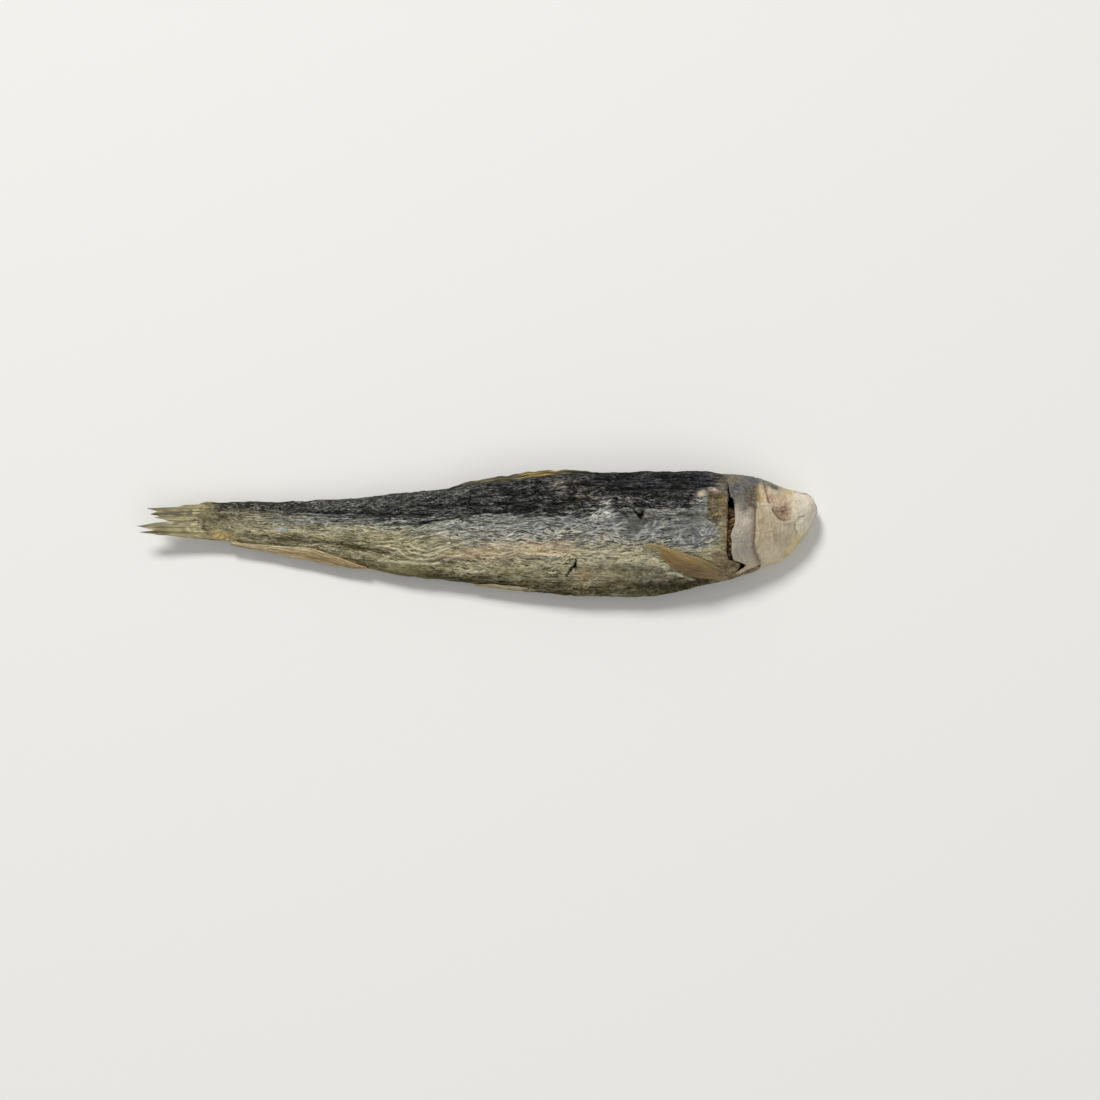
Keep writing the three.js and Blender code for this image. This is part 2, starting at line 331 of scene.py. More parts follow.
class Finish:
    """A material that starts from the mesh's own coat of colour and adds fine noise to it."""

    def __init__(self, name):
        self.material = bpy.data.materials.new(name)
        self.material.use_nodes = True
        self.tree = self.material.node_tree
        place = self.node("ShaderNodeTexCoord").outputs["Object"]
        scaled = {0: place, "Scale": 1 / UNIT}
        self.place = self.node("ShaderNodeVectorMath", scaled, operation="SCALE").outputs[0]
        self.colour = self.mark("coat", "Color")

    def fill(self, node, inputs):
        """Sets or links each input that is named or numbered."""
        for key, value in dict(inputs).items():
            if isinstance(value, bpy.types.NodeSocket):
                self.tree.links.new(value, node.inputs[key])
            else:
                node.inputs[key].default_value = value

    def node(self, kind, inputs=(), **settings):
        made = self.tree.nodes.new(kind)
        for setting, value in settings.items():
            setattr(made, setting, value)
        self.fill(made, inputs)
        return made

    def mark(self, name, kind="Fac"):
        return self.node("ShaderNodeAttribute", attribute_name=name).outputs[kind]

    def follow(self, name):
        """From here on the noise follows a vector mark, in millimetres."""
        self.place = self.mark(name, "Vector")

    def chain(self, operation, values):
        total = values[0]
        for value in values[1:]:
            total = self.node("ShaderNodeMath", {0: total, 1: value}, operation=operation).outputs[0]
        return total

    def sum(self, *values):
        return self.chain("ADD", values)

    def times(self, *values):
        return self.chain("MULTIPLY", values)

    def span(self, value, low, high, to_low=0, to_high=1):
        """Spreads low to high over to_low to to_high, and holds what lies outside."""
        ends = {"From Min": low, "From Max": high, "To Min": to_low, "To Max": to_high}
        return self.node("ShaderNodeMapRange", {"Value": value, **ends}).outputs[0]

    def pick(self, share, first, second):
        """The first value where share is 0 and the second where it is 1."""
        return self.node("ShaderNodeMix", {0: share, 2: first, 3: second}).outputs[0]

    def grain(self, size, low=0.35, high=0.65, detail=2, tilt=0):
        """Noise of a size in millimetres, from 0 to 1."""
        placing = {"Vector": self.place, "Rotation": (0, 0, math.radians(tilt)), "Scale": three(size)}
        placed = self.node("ShaderNodeMapping", placing, vector_type="TEXTURE").outputs[0]
        texture = self.node("ShaderNodeTexNoise", {"Vector": placed, "Scale": 1, "Detail": detail})
        return self.span(texture.outputs["Fac"], low, high)

    def veins(self, size, width, detail=2, tilt=0):
        """Thin winding lines, 1 on them, about as far apart as size says."""
        ripple = self.sum(self.grain(size, 0, 1, detail, tilt), -0.5)
        away = self.node("ShaderNodeMath", {0: ripple}, operation="ABSOLUTE")
        return self.span(away.outputs[0], 0, width, 1, 0)

    def lay(self, colour, *shares):
        """Lays a colour over the last one, by the product of shares from 0 to 1."""
        layers = {0: self.times(*shares), 6: self.colour, 7: opaque(colour)}
        self.colour = self.node("ShaderNodeMix", layers, data_type="RGBA", clamp_factor=True).outputs[2]

    def gain(self, amount):
        """Makes the colour lighter or darker by a factor."""
        scaled = self.node("ShaderNodeVectorMath", {0: self.colour, "Scale": amount}, operation="SCALE")
        limits = {0: scaled.outputs[0], 1: LIGHTEST}
        self.colour = self.node("ShaderNodeVectorMath", limits, operation="MINIMUM").outputs[0]

    def done(self, roughness, height, depth, specular):
        """Links the colour, the roughness and the fine relief, depth millimetres deep."""
        relief = self.node("ShaderNodeBump", {"Distance": depth * UNIT, "Height": height}).outputs[0]
        surface = {"Base Color": self.colour, "Roughness": roughness, "Specular IOR Level": specular}
        self.fill(self.tree.nodes["Principled BSDF"], {**surface, "Normal": relief})
        return self.material


def skin_material():
    """The trunk's skin: finely crinkled along the body, and grainy where it is calm."""
    look = Finish("trunk_skin")
    calm, highlight_share, warm, black = (look.mark(name) for name in ("calm", "highlight_share", "warm", "black"))
    blotches = look.grain((2.6, 1.1), 0.36, 0.64, 3)
    salt = look.grain((0.42, 0.34), 0.53, 0.66)
    salty = look.grain((3, 1.8), 0.4, 0.6)
    sand = look.grain((0.5, 0.42), 0.36, 0.64)
    look.follow("flow")
    long_lines = look.veins((4.2, 0.4), 0.11)
    short_lines = look.veins((1.2, 0.3), 0.11, tilt=8)
    cracks = look.veins((1.9, 0.38), 0.08, tilt=-6)
    fibres = look.grain((0.75, 0.22), 0.36, 0.64, 1, tilt=4)
    hairs = look.veins((2.6, 0.6), 0.045, tilt=3)
    hairy = look.grain((5, 1.6), 0.38, 0.54, 1)
    strokes = look.grain((1.1, 0.3), 0.54, 0.68, tilt=-3)
    raised = look.sum(look.times(long_lines, 0.6), look.times(short_lines, 0.5))
    height = look.sum(raised, look.times(look.mark("crest"), 0.5), look.times(fibres, 0.7),
                      look.times(look.sum(cracks, look.mark("groove")), -0.6))
    # Lighter on the crests and darker in the cracks and grooves: partly the skin's own tone, partly
    # painted highlight and shade on the wrinkles.
    wrinkle_tone_and_shade = look.span(height, -0.4, 1.7, 0.27, 2.8)
    look.gain(look.pick(calm, wrinkle_tone_and_shade, look.span(sand, 0, 1, 0.62, 1.45)))
    look.gain(look.span(blotches, 0, 1, 0.6, 1.16))
    # Painted highlights: glints on the raised crinkles and thin bright threads, laid where the mesh's
    # highlight share allows, and warmer where the skin is warm.
    painted_glint = look.times(look.span(raised, 0.4, 1), highlight_share, 0.8)
    look.lay((206, 211, 207), painted_glint)
    highlight_threads = look.times(hairs, hairy, highlight_share, 0.95)
    look.lay((232, 229, 216), highlight_threads)
    look.lay((222, 206, 156), look.sum(painted_glint, highlight_threads), warm)
    look.lay((7, 7, 7), cracks, black, 0.9)
    specks = look.sum(look.times(salt, look.mark("gritty")), look.times(strokes, black))
    specks = look.times(specks, look.span(salty, 0, 1, 0.1, 0.75))
    look.lay((158, 156, 150), specks)
    look.lay((178, 164, 124), specks, warm)
    # Near black: painted shade in the holes and inside the gill opening, and the back's dark grooves
    # and the throat's dark scale rims and ovals.
    look.lay((12, 10, 8), look.mark("shade_and_dark_marks"))
    relief = look.pick(calm, height, look.times(sand, 0.7))
    return look.done(look.span(relief, 0, 1.4, 0.6, 0.42), relief, depth=0.12, specular=0.05)


def head_material():
    """The head's thin skin on bone: smooth, with fine freckles, and gritty on the crown."""
    look = Finish("head_skin")
    fine = look.grain((0.5, 0.5))
    streaks = look.grain((0.35, 2.4, 1.2))
    salt = look.times(look.grain((0.4, 0.36), 0.5, 0.66), look.mark("gritty"))
    freckles = look.grain((0.42, 0.38), 0.62, 0.7, 1)
    veins = look.veins((1.6, 1.3), 0.05, 3)
    look.gain(look.span(fine, 0, 1, 0.9, 1.09))
    look.gain(look.span(streaks, 0, 1, 0.9, 1.1))
    look.lay((168, 160, 140), salt, 0.5)
    look.lay((84, 64, 42), freckles, look.mark("freckled"))
    look.lay((214, 204, 182), veins, 0.08)
    # Near black: painted shade where the gill cover turns under, and in the nostril.
    look.lay((26, 18, 12), look.mark("shade_and_dark_marks"))
    height = look.sum(look.times(fine, 0.6), look.times(veins, 0.25), look.times(salt, 0.8))
    return look.done(look.span(fine, 0, 1, 0.42, 0.6), height, depth=0.09, specular=0.4)


def fin_material(name, bold):
    """Dried fin skin, streaked along its rays. bold is how strong the streaks are."""
    look = Finish(name)
    look.follow("flow")
    streaks = look.grain((3, 0.22, 1), 0.32, 0.68)
    lines = look.veins((4, 0.5, 1), 0.06)
    fine = look.grain((0.5, 0.26, 1), 0.3, 0.7, 1)
    height = look.sum(look.times(streaks, 0.6), look.times(lines, 0.5), look.times(fine, 0.35))
    look.gain(look.span(height, 0.2, 1.2, 1 - 0.38 * bold, 1 + 0.45 * bold))
    look.lay((214, 202, 168), lines, 0.3 * bold)
    sand = look.span(look.grain((0.5, 0.42, 1), 0.36, 0.64), 0, 1, 0.55, 1.45)
    look.gain(look.pick(look.mark("gritty"), 1, sand))
    return look.done(look.span(height, 0.2, 1.2, 0.58, 0.42), height, depth=0.1, specular=0.45)


def grainy_material(name, size, low, high, dark, light, roughness, depth, specular):
    """One even grain, for the dried gills and eyes."""
    look = Finish(name)
    grain = look.grain(size, low, high)
    look.gain(look.span(grain, 0, 1, dark, light))
    return look.done(roughness, grain, depth, specular)


# ---------- the trunk ----------
TRUNK_ROWS = 340
RIGHT_SIDES = 216  # points round the right flank, which lies uppermost
LEFT_SIDES = 64
TAIL_END = 10.8
TRUNK_FRONT = 103.6
GILL_X = 104.5  # where heights by the gill opening are measured
CALMEST = 0.95  # the calmest skin still has a few wrinkles

# Where the trunk's skin ends at the gill opening, as x at each height y from the keel up.
TRUNK_EDGE = [(-13, 104.2), (-9.6, 104.6), (-8.66, 105.3), (-7.9, 105.9), (-7.3, 106),
              (-6.8, 105.2), (-6.1, 103.9), (-4.4, 103.45), (-2.1, 103.6), (4.2, 103.65),
              (7.5, 103.9), (10, 104.2)]
# The free edge of the gill cover, in the same way.
COVER_EDGE = [(-13, 104.3), (-9.6, 104.5), (-8.66, 105.6), (-8.2, 106.7), (-7.75, 107.4),
              (-7, 106.4), (-6.2, 105.1), (-4.9, 104.7), (-2.8, 104.65), (-1.7, 104.4),
              (-0.8, 104.65), (0.3, 105.1), (3.4, 105.1), (4.4, 104.85), (5, 104.35),
              (6.4, 104.1), (7.6, 104), (10, 104)]
# How the trunk turns in at its edge: steps forwards, and down under the skin.
TURN_IN = [(0.12, 0.04), (0.22, 0.16), (0.28, 0.4), (0.3, 0.8), (0.34, 1.3), (0.6, 1.75),
           (1.2, 1.9), (2.4, 1.9), (4, 1.9), (4.8, 2.1)]
# How the gill cover turns under at its edge, from deep inside to the free edge.
TURN_UNDER = [(5.2, 1.2), (4, 0.42), (2.4, 0.42), (1.2, 0.42), (0.5, 0.4), (0.12, 0.34),
              (0.02, 0.22), (0.02, 0.1), (0.08, 0.02)]

# The dark back's lower edge, and the middle of the pink band.
DARK_EDGE = [(10, 4.6), (14, 3.8), (18.5, 2.6), (26.4, 2.3), (34, 1.8), (42, 1.5), (50, 1.5), (58, 1.9),
             (66, 2.3), (73, 2.5), (77, 2.7), (80, 3.6), (83, 3.9), (84.8, 2.5), (86.6, 2), (88, 3),
             (92, 3.4), (94, 3), (96.5, 3), (97.6, 4.4), (99.4, 5.5), (101, 6.2), (102.3, 6.6),
             (105, 7.2)]
PINK_MIDDLE = [(44, -5.4), (54, -5), (62, -4.6), (70, -4.1), (78, -3.8)]
# Long grooves in the back.
BACK_GROOVES = [
    [(30, 2.6), (38, 2.4), (46, 2.3)],
    [(36, 2.5), (42.6, 2.1), (47, 2.1), (52, 1.8)],
    [(45.6, 0.45), (49.7, 0.3), (52.4, 0.75), (55, 1.1), (60.3, 2.1), (65.7, 2.5), (71, 3.2)],
    [(48, 3.4), (56, 3.7), (63, 3.5), (70, 4.2)],
    [(57, 4.6), (64, 5.3), (72, 5.4)],
    [(60.3, 2.1), (67.8, 2.3), (70.6, 3.1)],
    [(74.9, 4.4), (80, 4.6)],
    [(76.1, 2.8), (80.1, 3.1)],
    [(80, 7.9), (88, 8.5), (96, 8.3), (102, 7.6)],
    [(82, 5.9), (90, 6.6), (97, 6.4)],
    [(74, 6.9), (79, 7.2), (84, 6.6)],
]
# Soft patches on the flank: share, the spot's middle, radii and tilt, and colour.
FLANK_PATCHES = [
    (0.6, (86.5, 0.4, 4.6, 2.6), (98, 100, 98)), (0.5, (74, -0.6, 2.2, 0.7), (74, 74, 56)),
    (0.6, (67, -9.2, 3.4, 1.3), (138, 128, 70)), (0.7, (74.4, -7.4, 2.6, 2, 20), (84, 86, 70)),
    (0.85, (82, -7.9, 3.8, 2.2), (162, 149, 120)), (1, (78.8, -9.8, 1.1, 1.6), (150, 108, 46)),
    (0.6, (84, -10.2, 2, 0.7), (112, 84, 48)), (0.6, (94.4, 2, 1.6, 1.3), (98, 92, 68)),
    (0.7, (98.6, 4.2, 1.6, 1, 30), (98, 94, 78)), (0.7, (35.5, -2.6, 6, 1.1, -4), (98, 92, 62)),
    (0.5, (35, -0.4, 8, 1.2, -3), (100, 104, 92)), (0.7, (99, -1.6, 2.2, 2.2, 60), (122, 124, 132)),
    (0.7, (101.8, -3.8, 1.3, 1.5), (144, 136, 92)), (0.7, (100.8, -6.6, 2.6, 1.4, -20), (142, 118, 82)),
    (0.8, (91, -8.4, 4.6, 1.6, -6), (140, 135, 114)), (0.6, (81.5, -11.2, 8, 0.7, -2), (112, 100, 52)),
    # The first patch below, at (32.6, -2.9), is painted shade in the hollow above the anal fin.
    (0.8, (32.6, -2.9, 6.4, 0.7, -3), (76, 70, 36)), (1, (48.5, -7.7, 4.6, 1.5, -10), (172, 164, 106)),
    (0.8, (24.8, -2.2, 5.2, 0.6, -2), (104, 95, 60)), (0.9, (14.6, 2, 4.4, 1.5), (66, 60, 36)),
    (1, (14.5, -2, 2, 1), (226, 194, 116)), (0.8, (38.4, -6.2, 2.2, 0.7, -20), (146, 108, 56)),
    (0.6, (33, -1, 6, 0.7, -3), (166, 160, 126)), (0.6, (96, -0.6, 2.2, 1.6, 20), (108, 112, 118)),
    (0.5, (62, -8.6, 3.6, 1.2), (146, 138, 98)), (0.7, (82, -2.5, 0.5, 0.8, 10), (142, 108, 74)),
    (0.6, (63.5, 0.6, 0.3, 0.4), (128, 88, 56)), (0.6, (52, -3.6, 6, 0.9, -4), (134, 128, 88)),
    (0.5, (87, -5, 5, 0.8, 6), (140, 132, 106)), (0.5, (91, 0.2, 4.6, 2.2), (94, 94, 88)),
    (0.7, (89.6, 2.2, 0.9, 1.1), (96, 84, 54)), (0.6, (35, -3.7, 4.8, 1.1, -8), (86, 78, 38)),
    (0.3, (50, -5.2, 5.5, 1.7, -4), (108, 98, 54)), (0.6, (80.8, 4.4, 2.4, 0.8), (86, 78, 64)),
    (0.4, (83.1, 1.9, 1.6, 0.9), (150, 152, 146)),
]
# Arcs in the skin behind the gill, and pale folds from there towards the tail.
GILL_ARCS = [
    [(88, -2.1), (89.3, -0.6), (90.3, 0.6)],
    [(88.8, -2.6), (90.2, -1), (91.4, 0.5)],
    [(89.8, -3), (91.2, -1.4), (92.2, -0.4)],
    [(95.1, -3.9), (97.6, -3.7), (100.3, -2.3), (101.5, 0)],
    [(95.4, -3.3), (97.6, -3.1), (99.8, -1.8), (100.9, 0.2)],
    [(95.6, -2.7), (97.4, -2.5), (99.3, -1.3), (100.3, 0.4)],
    [(96, -4.5), (98.2, -4.3), (100.8, -2.9), (102, -0.8)],
]
PALE_FOLDS = [
    [(84.6, -6.5), (86.8, -6.5), (88.4, -6.2), (90.2, -5.6), (91.4, -6.3)],
    [(90.6, -5.8), (92.4, -7), (93.4, -8.2), (95.6, -8.9), (98, -9.8)],
    [(76.5, -4.7), (78.5, -4.1), (80.1, -3.3)],
    [(79.5, -5), (83, -4.7), (86.5, -5.1), (88.9, -4.6)],
    [(68.8, -5.2), (72, -5.3), (75.3, -5.3)],
    [(60.5, -7.2), (63, -7), (66, -6.3)],
]
# Long even folds by the lump in the flank.
LONG_FOLDS = [
    [(42.6, -5.9), (44.4, -6.1), (46.4, -6.2), (48.5, -6.5), (51.2, -6.65), (53.5, -6.5), (55.3, -5.9),
     (56.5, -5.3), (58, -5)],
    [(42.6, -3.55), (44.4, -3.7), (46.2, -4.15), (47.3, -5), (48.5, -5.6), (50.9, -5.8), (52.7, -5.6),
     (54.4, -5)],
    [(47.6, -3.85), (48.5, -4.6), (49.7, -5), (51.5, -5.2), (53, -4.9), (54.4, -4.15), (56.2, -3.55),
     (58, -2.96)],
    [(48.2, -3.25), (49.7, -4.15), (51.5, -4.4), (53.5, -3.85), (55.3, -2.96)],
    [(42.6, -2.96), (45, -2.8), (47.6, -2.07), (50.3, -1.9), (53, -1.5), (55, -0.9)],
    [(57.4, -8.6), (59.2, -7.7)],
    [(58.6, -8.3), (61.5, -7.9)],
]
# A hollow that runs above the anal fin, sunk in the relief and darkened with painted shade.
REAR_HOLLOW = [(18.9, -1.5), (25, -2.1), (30.7, -2.7), (35, -3.2), (39.6, -3.9), (44.4, -4.7)]
# Two holes in the skin.
V_PIT = [(87.5, 2.7), (88.3, 1.9), (88.8, 2), (89.3, 2.6), (89.1, 1.6), (88.8, 0.95), (88.4, 1.15),
         (88, 1.8)]
NICK = [(77.4, -6), (77.6, -7.1), (77.5, -7.6), (76.8, -7.75), (75.7, -9.1), (76.5, -7.6), (77.1, -7.1)]
OVALS = [(88.75, -10.6), (90.7, -10.65), (92.7, -10.6), (94.4, -10.4)]  # dark scales by the throat


def read_off(table, value):
    """What a table of pairs gives for a value in its first column, or between two of them."""
    return np.interp(value, *np.array(table, float).T)


def along(x, y, route, width):
    """A soft line along a route, 1 on it."""
    return np.exp(-((distance_to(x, y, route) / width) ** 2))


def along_all(x, y, routes, width):
    return np.maximum.reduce([along(x, y, route, width) for route in routes])


def gape(y):
    """How open the gill is at each height, from 0 where it is shut to 1."""
    return smooth(7.7, 6.6, y) * smooth(-8.9, -8, y)


def heights_at_gill(angle):
    """How high the skin lies by the gill opening, at angles round the body."""
    return skin(np.full(len(angle), GILL_X), angle)[:, 1]


FULL_DEPTH = 21  # where the body is less deep than this, its wrinkles are finer


def streamlines(points):
    """Places in which the body's own lines run straight along x, so that wrinkles follow them."""
    x = points[:, 0]
    back, belly = back_line(x), belly_line(x)
    stretch = (FULL_DEPTH / np.maximum(back - belly, 2)) ** 0.6
    y = (points[:, 1] - (back + belly) / 2) * stretch
    lines = np.stack([x, y, points[:, 2] * stretch], -1)
    sway = noise(lines, (10, 5), 1) + 0.32 * noise(lines, (3, 1.8), 2)
    sway += 0.12 * noise(lines, (1.1, 0.8), 3)
    return lines + np.stack([0 * x, sway, 0.5 * sway], -1)


def slant(lines, slope):
    """The same places, with the lines slanting across the body."""
    return lines + np.stack([0 * lines[:, 0], slope * lines[:, 0], 0 * lines[:, 0]], -1)


def trunk_grid():
    """Rows of the trunk's skin, and for each point how far it has turned in at the gill."""
    right = np.linspace(0, math.pi, RIGHT_SIDES, endpoint=False)
    left = np.linspace(-math.pi, 0, LEFT_SIDES, endpoint=False)
    angle = np.concatenate([right, left])
    height_here = heights_at_gill(angle)
    edge = read_off(TRUNK_EDGE, height_here)
    frayed = np.stack([1.6 * np.cos(angle), 2.4 * np.sin(angle), 0 * angle], -1)
    start = TAIL_END + 0.5 + 1.4 * noise(frayed, (1, 1), 30)
    share = np.linspace(0, 1, TRUNK_ROWS)[:, None]
    x = start + (TRUNK_FRONT - start) * share + (edge - TRUNK_FRONT) * smooth(0.9, 1, share)
    rows = [skin(row, angle) for row in x]
    turned = [np.zeros(len(angle))] * TRUNK_ROWS
    opening = gape(height_here)
    for ahead, down in TURN_IN:
        depth = down * (0.12 + 0.88 * opening)
        rows.append(skin(edge + ahead, angle, -depth - 0.1))
        turned.append(np.full(len(angle), min(1, down)) * opening)
    return np.array(rows), np.array(turned)


def scales(x, y, lines):
    """The scales by the throat: how near each point is to a scale's rim, from 0 to 1."""
    wide, tall = 1.65, 1.35
    row = np.floor(y / tall)
    u = x / wide + 0.5 * (row % 2) + 0.25 * noise(lines, (2, 1.5), 17)
    v = y / tall + 0.2 * noise(lines, (2, 1.5), 18)
    across, up = u % 1 - 0.5, v % 1 - 0.5
    return smooth(0.32, 0.5, np.maximum(np.abs(across), np.abs(up) * 0.9))


def trunk():
    grid, turned = trunk_grid()
    flat = grid.reshape(-1, 3)
    x, y, z = flat.T
    right = smooth(-0.3, 0.6, z)
    inside = turned.ravel()
    lines = streamlines(flat)
    back, belly = back_line(x), belly_line(x)
    rise = (y - belly) / (back - belly)
    wobble = 0.25 * noise(flat, (1.4, 0.9), 26)

    def at(*place):
        return spot(x, y, *place)

    # where each kind of skin lies
    streak = 0.8 * noise(lines, (13, 2.2), 3) + 0.7 * noise(lines, (3.5, 0.7), 4)
    tufts = streak + 1.3 * noise(lines, (2.4, 0.36), 33) + 0.6 * noise(lines, (1.1, 0.3), 36)
    crumbs = noise(flat, (1, 0.9), 35)
    lobes = 0.9 * noise(lines, (5, 3), 49)
    from_edge = y - read_off(DARK_EDGE, x) + lobes
    dark = smooth(-1.1, 0.8, from_edge + 0.9 * tufts)
    dark *= smooth(12, 15.5, x + 1.5 * crumbs)
    dark *= smooth(104.2, 102.9, x + 1.5 * wobble) + smooth(5.5, 3, y)
    dark = np.clip(dark, 0, 1)
    silver = smooth(52, 78, x + 4 * streak) * smooth(-8.5, -3, y - 0.8 * streak)
    strip = smooth(36, 46, x) * smooth(86, 66, x) * spot(0, y - 0.9 * tufts, 0, 0.4, 1, 1.6)
    olive = smooth(58, 40, x + 5 * streak) * smooth(0.6, -1.8, y - 0.8 * streak)
    belly_zone = smooth(0.42, 0.12, rise + 0.05 * streak)
    pink = smooth(50, 56, x + streak) * smooth(79, 74, x + streak)
    pink *= spot(0, y - 0.4 * streak - read_off(PINK_MIDDLE, x), 0, 0, 1, 1.15)
    lump = at(48.5, -7.7, 4.2, 1.4, -10) * right
    shaded_hollow = along(x, y + wobble, REAR_HOLLOW, 0.55) * right * smooth(-1.9, -0.6, streak)
    keel_shade = smooth(0.18, 0.05, rise + 0.02 * streak)
    stem = smooth(22, 15, x + 2 * crumbs)
    rim_start = read_off(TRUNK_EDGE, y) - 0.9 - 2.4 * smooth(-3.5, -6.5, y)
    rim = smooth(-0.7, 0.7, x - rim_start + 0.5 * crumbs) * smooth(6.6, 2.5, y)
    rust = smooth(99.6, 101.2, x + 0.9 * crumbs) * smooth(6.2, 5.2, y) * smooth(-1.2, 1.4, y + crumbs)
    adrift = 2 * noise(flat, (3.5, 3, 2.2), 39)
    crust = smooth(102.2, 103.6, x + adrift) * smooth(6, 7.4, y + 0.8 * adrift)
    crust *= 0.25 + 0.75 * smooth(-3, 0, z + adrift)
    cloth = smooth(79, 84, x + 2 * streak) * smooth(5, 6.8, y + 0.6 * streak)
    cloth *= smooth(104, 100, x) * dark
    throat = smooth(84, 88, x) * smooth(-6.6, -8, y) * right
    flaps = spot(x + wobble, y + wobble, 101.5, 6.1, 0.95, 0.42, -8)
    flaps += spot(x + wobble, y + wobble, 99.3, 5.5, 0.65, 0.4, 10)
    flaps += 0.7 * at(74.6, 7, 0.9, 0.4, -10) + 0.6 * at(80.2, 4.9, 0.8, 0.25)
    flaps = np.minimum(1, 1.2 * flaps) * right
    folds = 0.75 * along_all(x, y + wobble, PALE_FOLDS, 0.23) * right * smooth(-1.5, -0.5, streak)
    folds = np.maximum(folds, 0.9 * along_all(x, y + 0.5 * wobble, LONG_FOLDS, 0.17) * right)
    arcs = along_all(x, y + wobble, GILL_ARCS, 0.15) * right * smooth(-0.5, 0.2, crumbs)
    painted_glitter = at(99.8, -3.2, 2.8, 2.8) * smooth(0.3, 0.5, noise(flat, (0.5, 0.32), 61))

    broad = noise(lines, (7, 1.7), 46)
    coat = Coat(len(x), (112, 109, 92))
    lay = coat.lay
    lay(0.6 * smooth(-0.2, 0.5, noise(lines, (9, 2.6), 40)), (132, 122, 94))
    lay(0.6 * smooth(0, 0.5, noise(lines, (6, 1.1), 41)), (100, 108, 108))
    lay(0.8 * silver, (98, 99, 95))
    lay(0.6 * silver * smooth(0.1, 0.5, noise(lines, (5, 1.6), 42)), (124, 120, 102))
    lay(0.8 * strip, (108, 113, 105))
    lay(0.9 * olive, (120, 112, 66))
    lay(0.6 * olive * smooth(0, 0.5, noise(lines, (7, 1.2), 43)), (154, 144, 104))
    lay(0.85 * belly_zone, (138, 128, 88))
    lay(0.6 * belly_zone * smooth(0, 0.6, noise(flat, (3, 2), 44)), (104, 98, 68))
    lay(pink, (200, 170, 134))
    lay(0.85 * stem, (150, 138, 98))
    lay(0.5 * smooth(0.1, 0.6, broad), (72, 70, 56))
    lay(0.35 * smooth(-0.1, -0.6, broad), (158, 152, 130))
    ragged = smooth(-1.2, 0, streak + 0.4 * noise(flat, (1.2, 0.8), 45))
    for share, place, colour in FLANK_PATCHES:
        lay(share * at(*place) * ragged * right, colour)
    lay(0.57 * smooth(-1.6, -4.2, y) * smooth(66, 44, x), (92, 84, 40))
    # Painted shade along the belly's lower edge.
    lay(0.85 * keel_shade * smooth(40, 52, x), (60, 52, 22))
    lay(0.85 * at(46.6, -7.1, 3.2, 1.2, -8) * right, (178, 170, 126))
    # Painted shade in the hollow above the anal fin.
    lay(0.85 * shaded_hollow, (68, 60, 30))
    coat.dim(0.06 * smooth(-2.5, -5.5, y) * smooth(103, 100, x))
    lay(0.55 * smooth(-2.2, -0.2, from_edge + 0.5 * tufts) * smooth(24, 40, x), (78, 78, 74))
    lay(dark, (11, 11, 13))
    lay(0.6 * dark * smooth(62, 40, x + 3 * streak), (44, 44, 39))
    lay(0.4 * dark * smooth(40, 28, x + 3 * streak), (50, 49, 42))
    lay(0.7 * dark * at(70, 4.8, 8, 2.8), (5, 5, 7))
    upper = smooth(2.1, 1, back - y) * smooth(12.5, 15, x + crumbs) * smooth(34, 25, x)
    lay(0.85 * upper, (18, 17, 14))
    lay(0.6 * dark * smooth(0.1, 0.6, noise(lines, (3, 0.8), 37)), (32, 31, 31))
    lay(0.6 * at(78, 5.6, 3.6, 2.2) * smooth(-0.1, 0.4, crumbs), (104, 90, 68))
    flecked = smooth(0.36, 0.5, noise(lines, (0.6, 0.3), 66)) * dark
    lay(0.65 * flecked * smooth(-0.3, 0.3, noise(flat, (5, 2), 67)), (158, 158, 152))
    lay(0.4 * flecked * smooth(50, 40, x), (196, 196, 186))
    lay(0.85 * cloth, (28, 29, 34))
    # Painted shade in the hollows of the folds on the front of the back.
    lay(0.9 * cloth * smooth(0.35, 0, crests(lines, (11, 2), 47)), (8, 8, 10))
    # Painted sheen on the ridges of those folds.
    lay(0.8 * cloth * smooth(0.8, 0.97, crests(lines, (9, 1.1), 48)), (82, 83, 90))
    lay(0.9 * rust * right, (100, 84, 53))
    lay(0.8 * rust * right * smooth(0.05, 0.5, crumbs), (54, 42, 26))
    lay(0.7 * rust * right * smooth(0.25, 0.7, noise(flat, (1.2, 0.7), 50)), (156, 134, 92))
    shade = (0.2 + 0.12 * smooth(80, 88, x)) * smooth(58, 66, x) * smooth(101, 98, x)
    shade *= smooth(-4, -2, y)
    coat.dim(shade + 0.14 * at(35, 0.2, 9, 1.4))
    lay(0.8 * crust, (104, 92, 74))
    lay(0.9 * rim, (150, 134, 103))
    lay(0.85 * rim * smooth(0.8, 2.2, y), (97, 77, 43))
    lay(0.5 * rim * smooth(0, 0.5, noise(flat, (0.9, 2.4), 38)), (110, 92, 66))
    lay(flaps, (202, 184, 162))
    lay(0.6 * at(102.9, 6.5, 0.7, 0.9) * right * smooth(-0.5, 0.3, crumbs), (146, 143, 124))
    creases = crests(flat, (0.75, 3.2), 62) ** 2 * at(88, -8, 6, 1.6, -4) * right
    lay(0.5 * creases, (178, 172, 148))
    lay(0.8 * folds, (222, 214, 184))
    lay(0.6 * at(88, -0.3, 2.1, 1.3) * right, (116, 116, 109))
    flakes = at(82.6, 1.8, 1.8, 0.9) * smooth(0.15, 0.4, noise(flat, (0.7, 0.3), 65))
    lay(0.9 * flakes * right, (204, 206, 198))
    lay(0.6 * arcs, (176, 178, 180))
    # Painted glints of the scales behind the gill.
    lay(0.8 * painted_glitter * right, (214, 216, 192))
    lay(0.8 * smooth(14.2, 12, x + streak), (112, 103, 68))
    lay(0.7 * at(12.4, 0.6, 2.6, 1.7) * smooth(-0.2, 0.4, crumbs), (66, 58, 32))
    # A painted bluish glint on the rear flank.
    lay(0.75 * at(25.4, -0.3, 1, 0.35) * right, (178, 187, 198))
    flesh = inside * smooth(3.4, 2.2, y) * smooth(-6, -4.2, y)
    lay(flesh, (98, 74, 42))

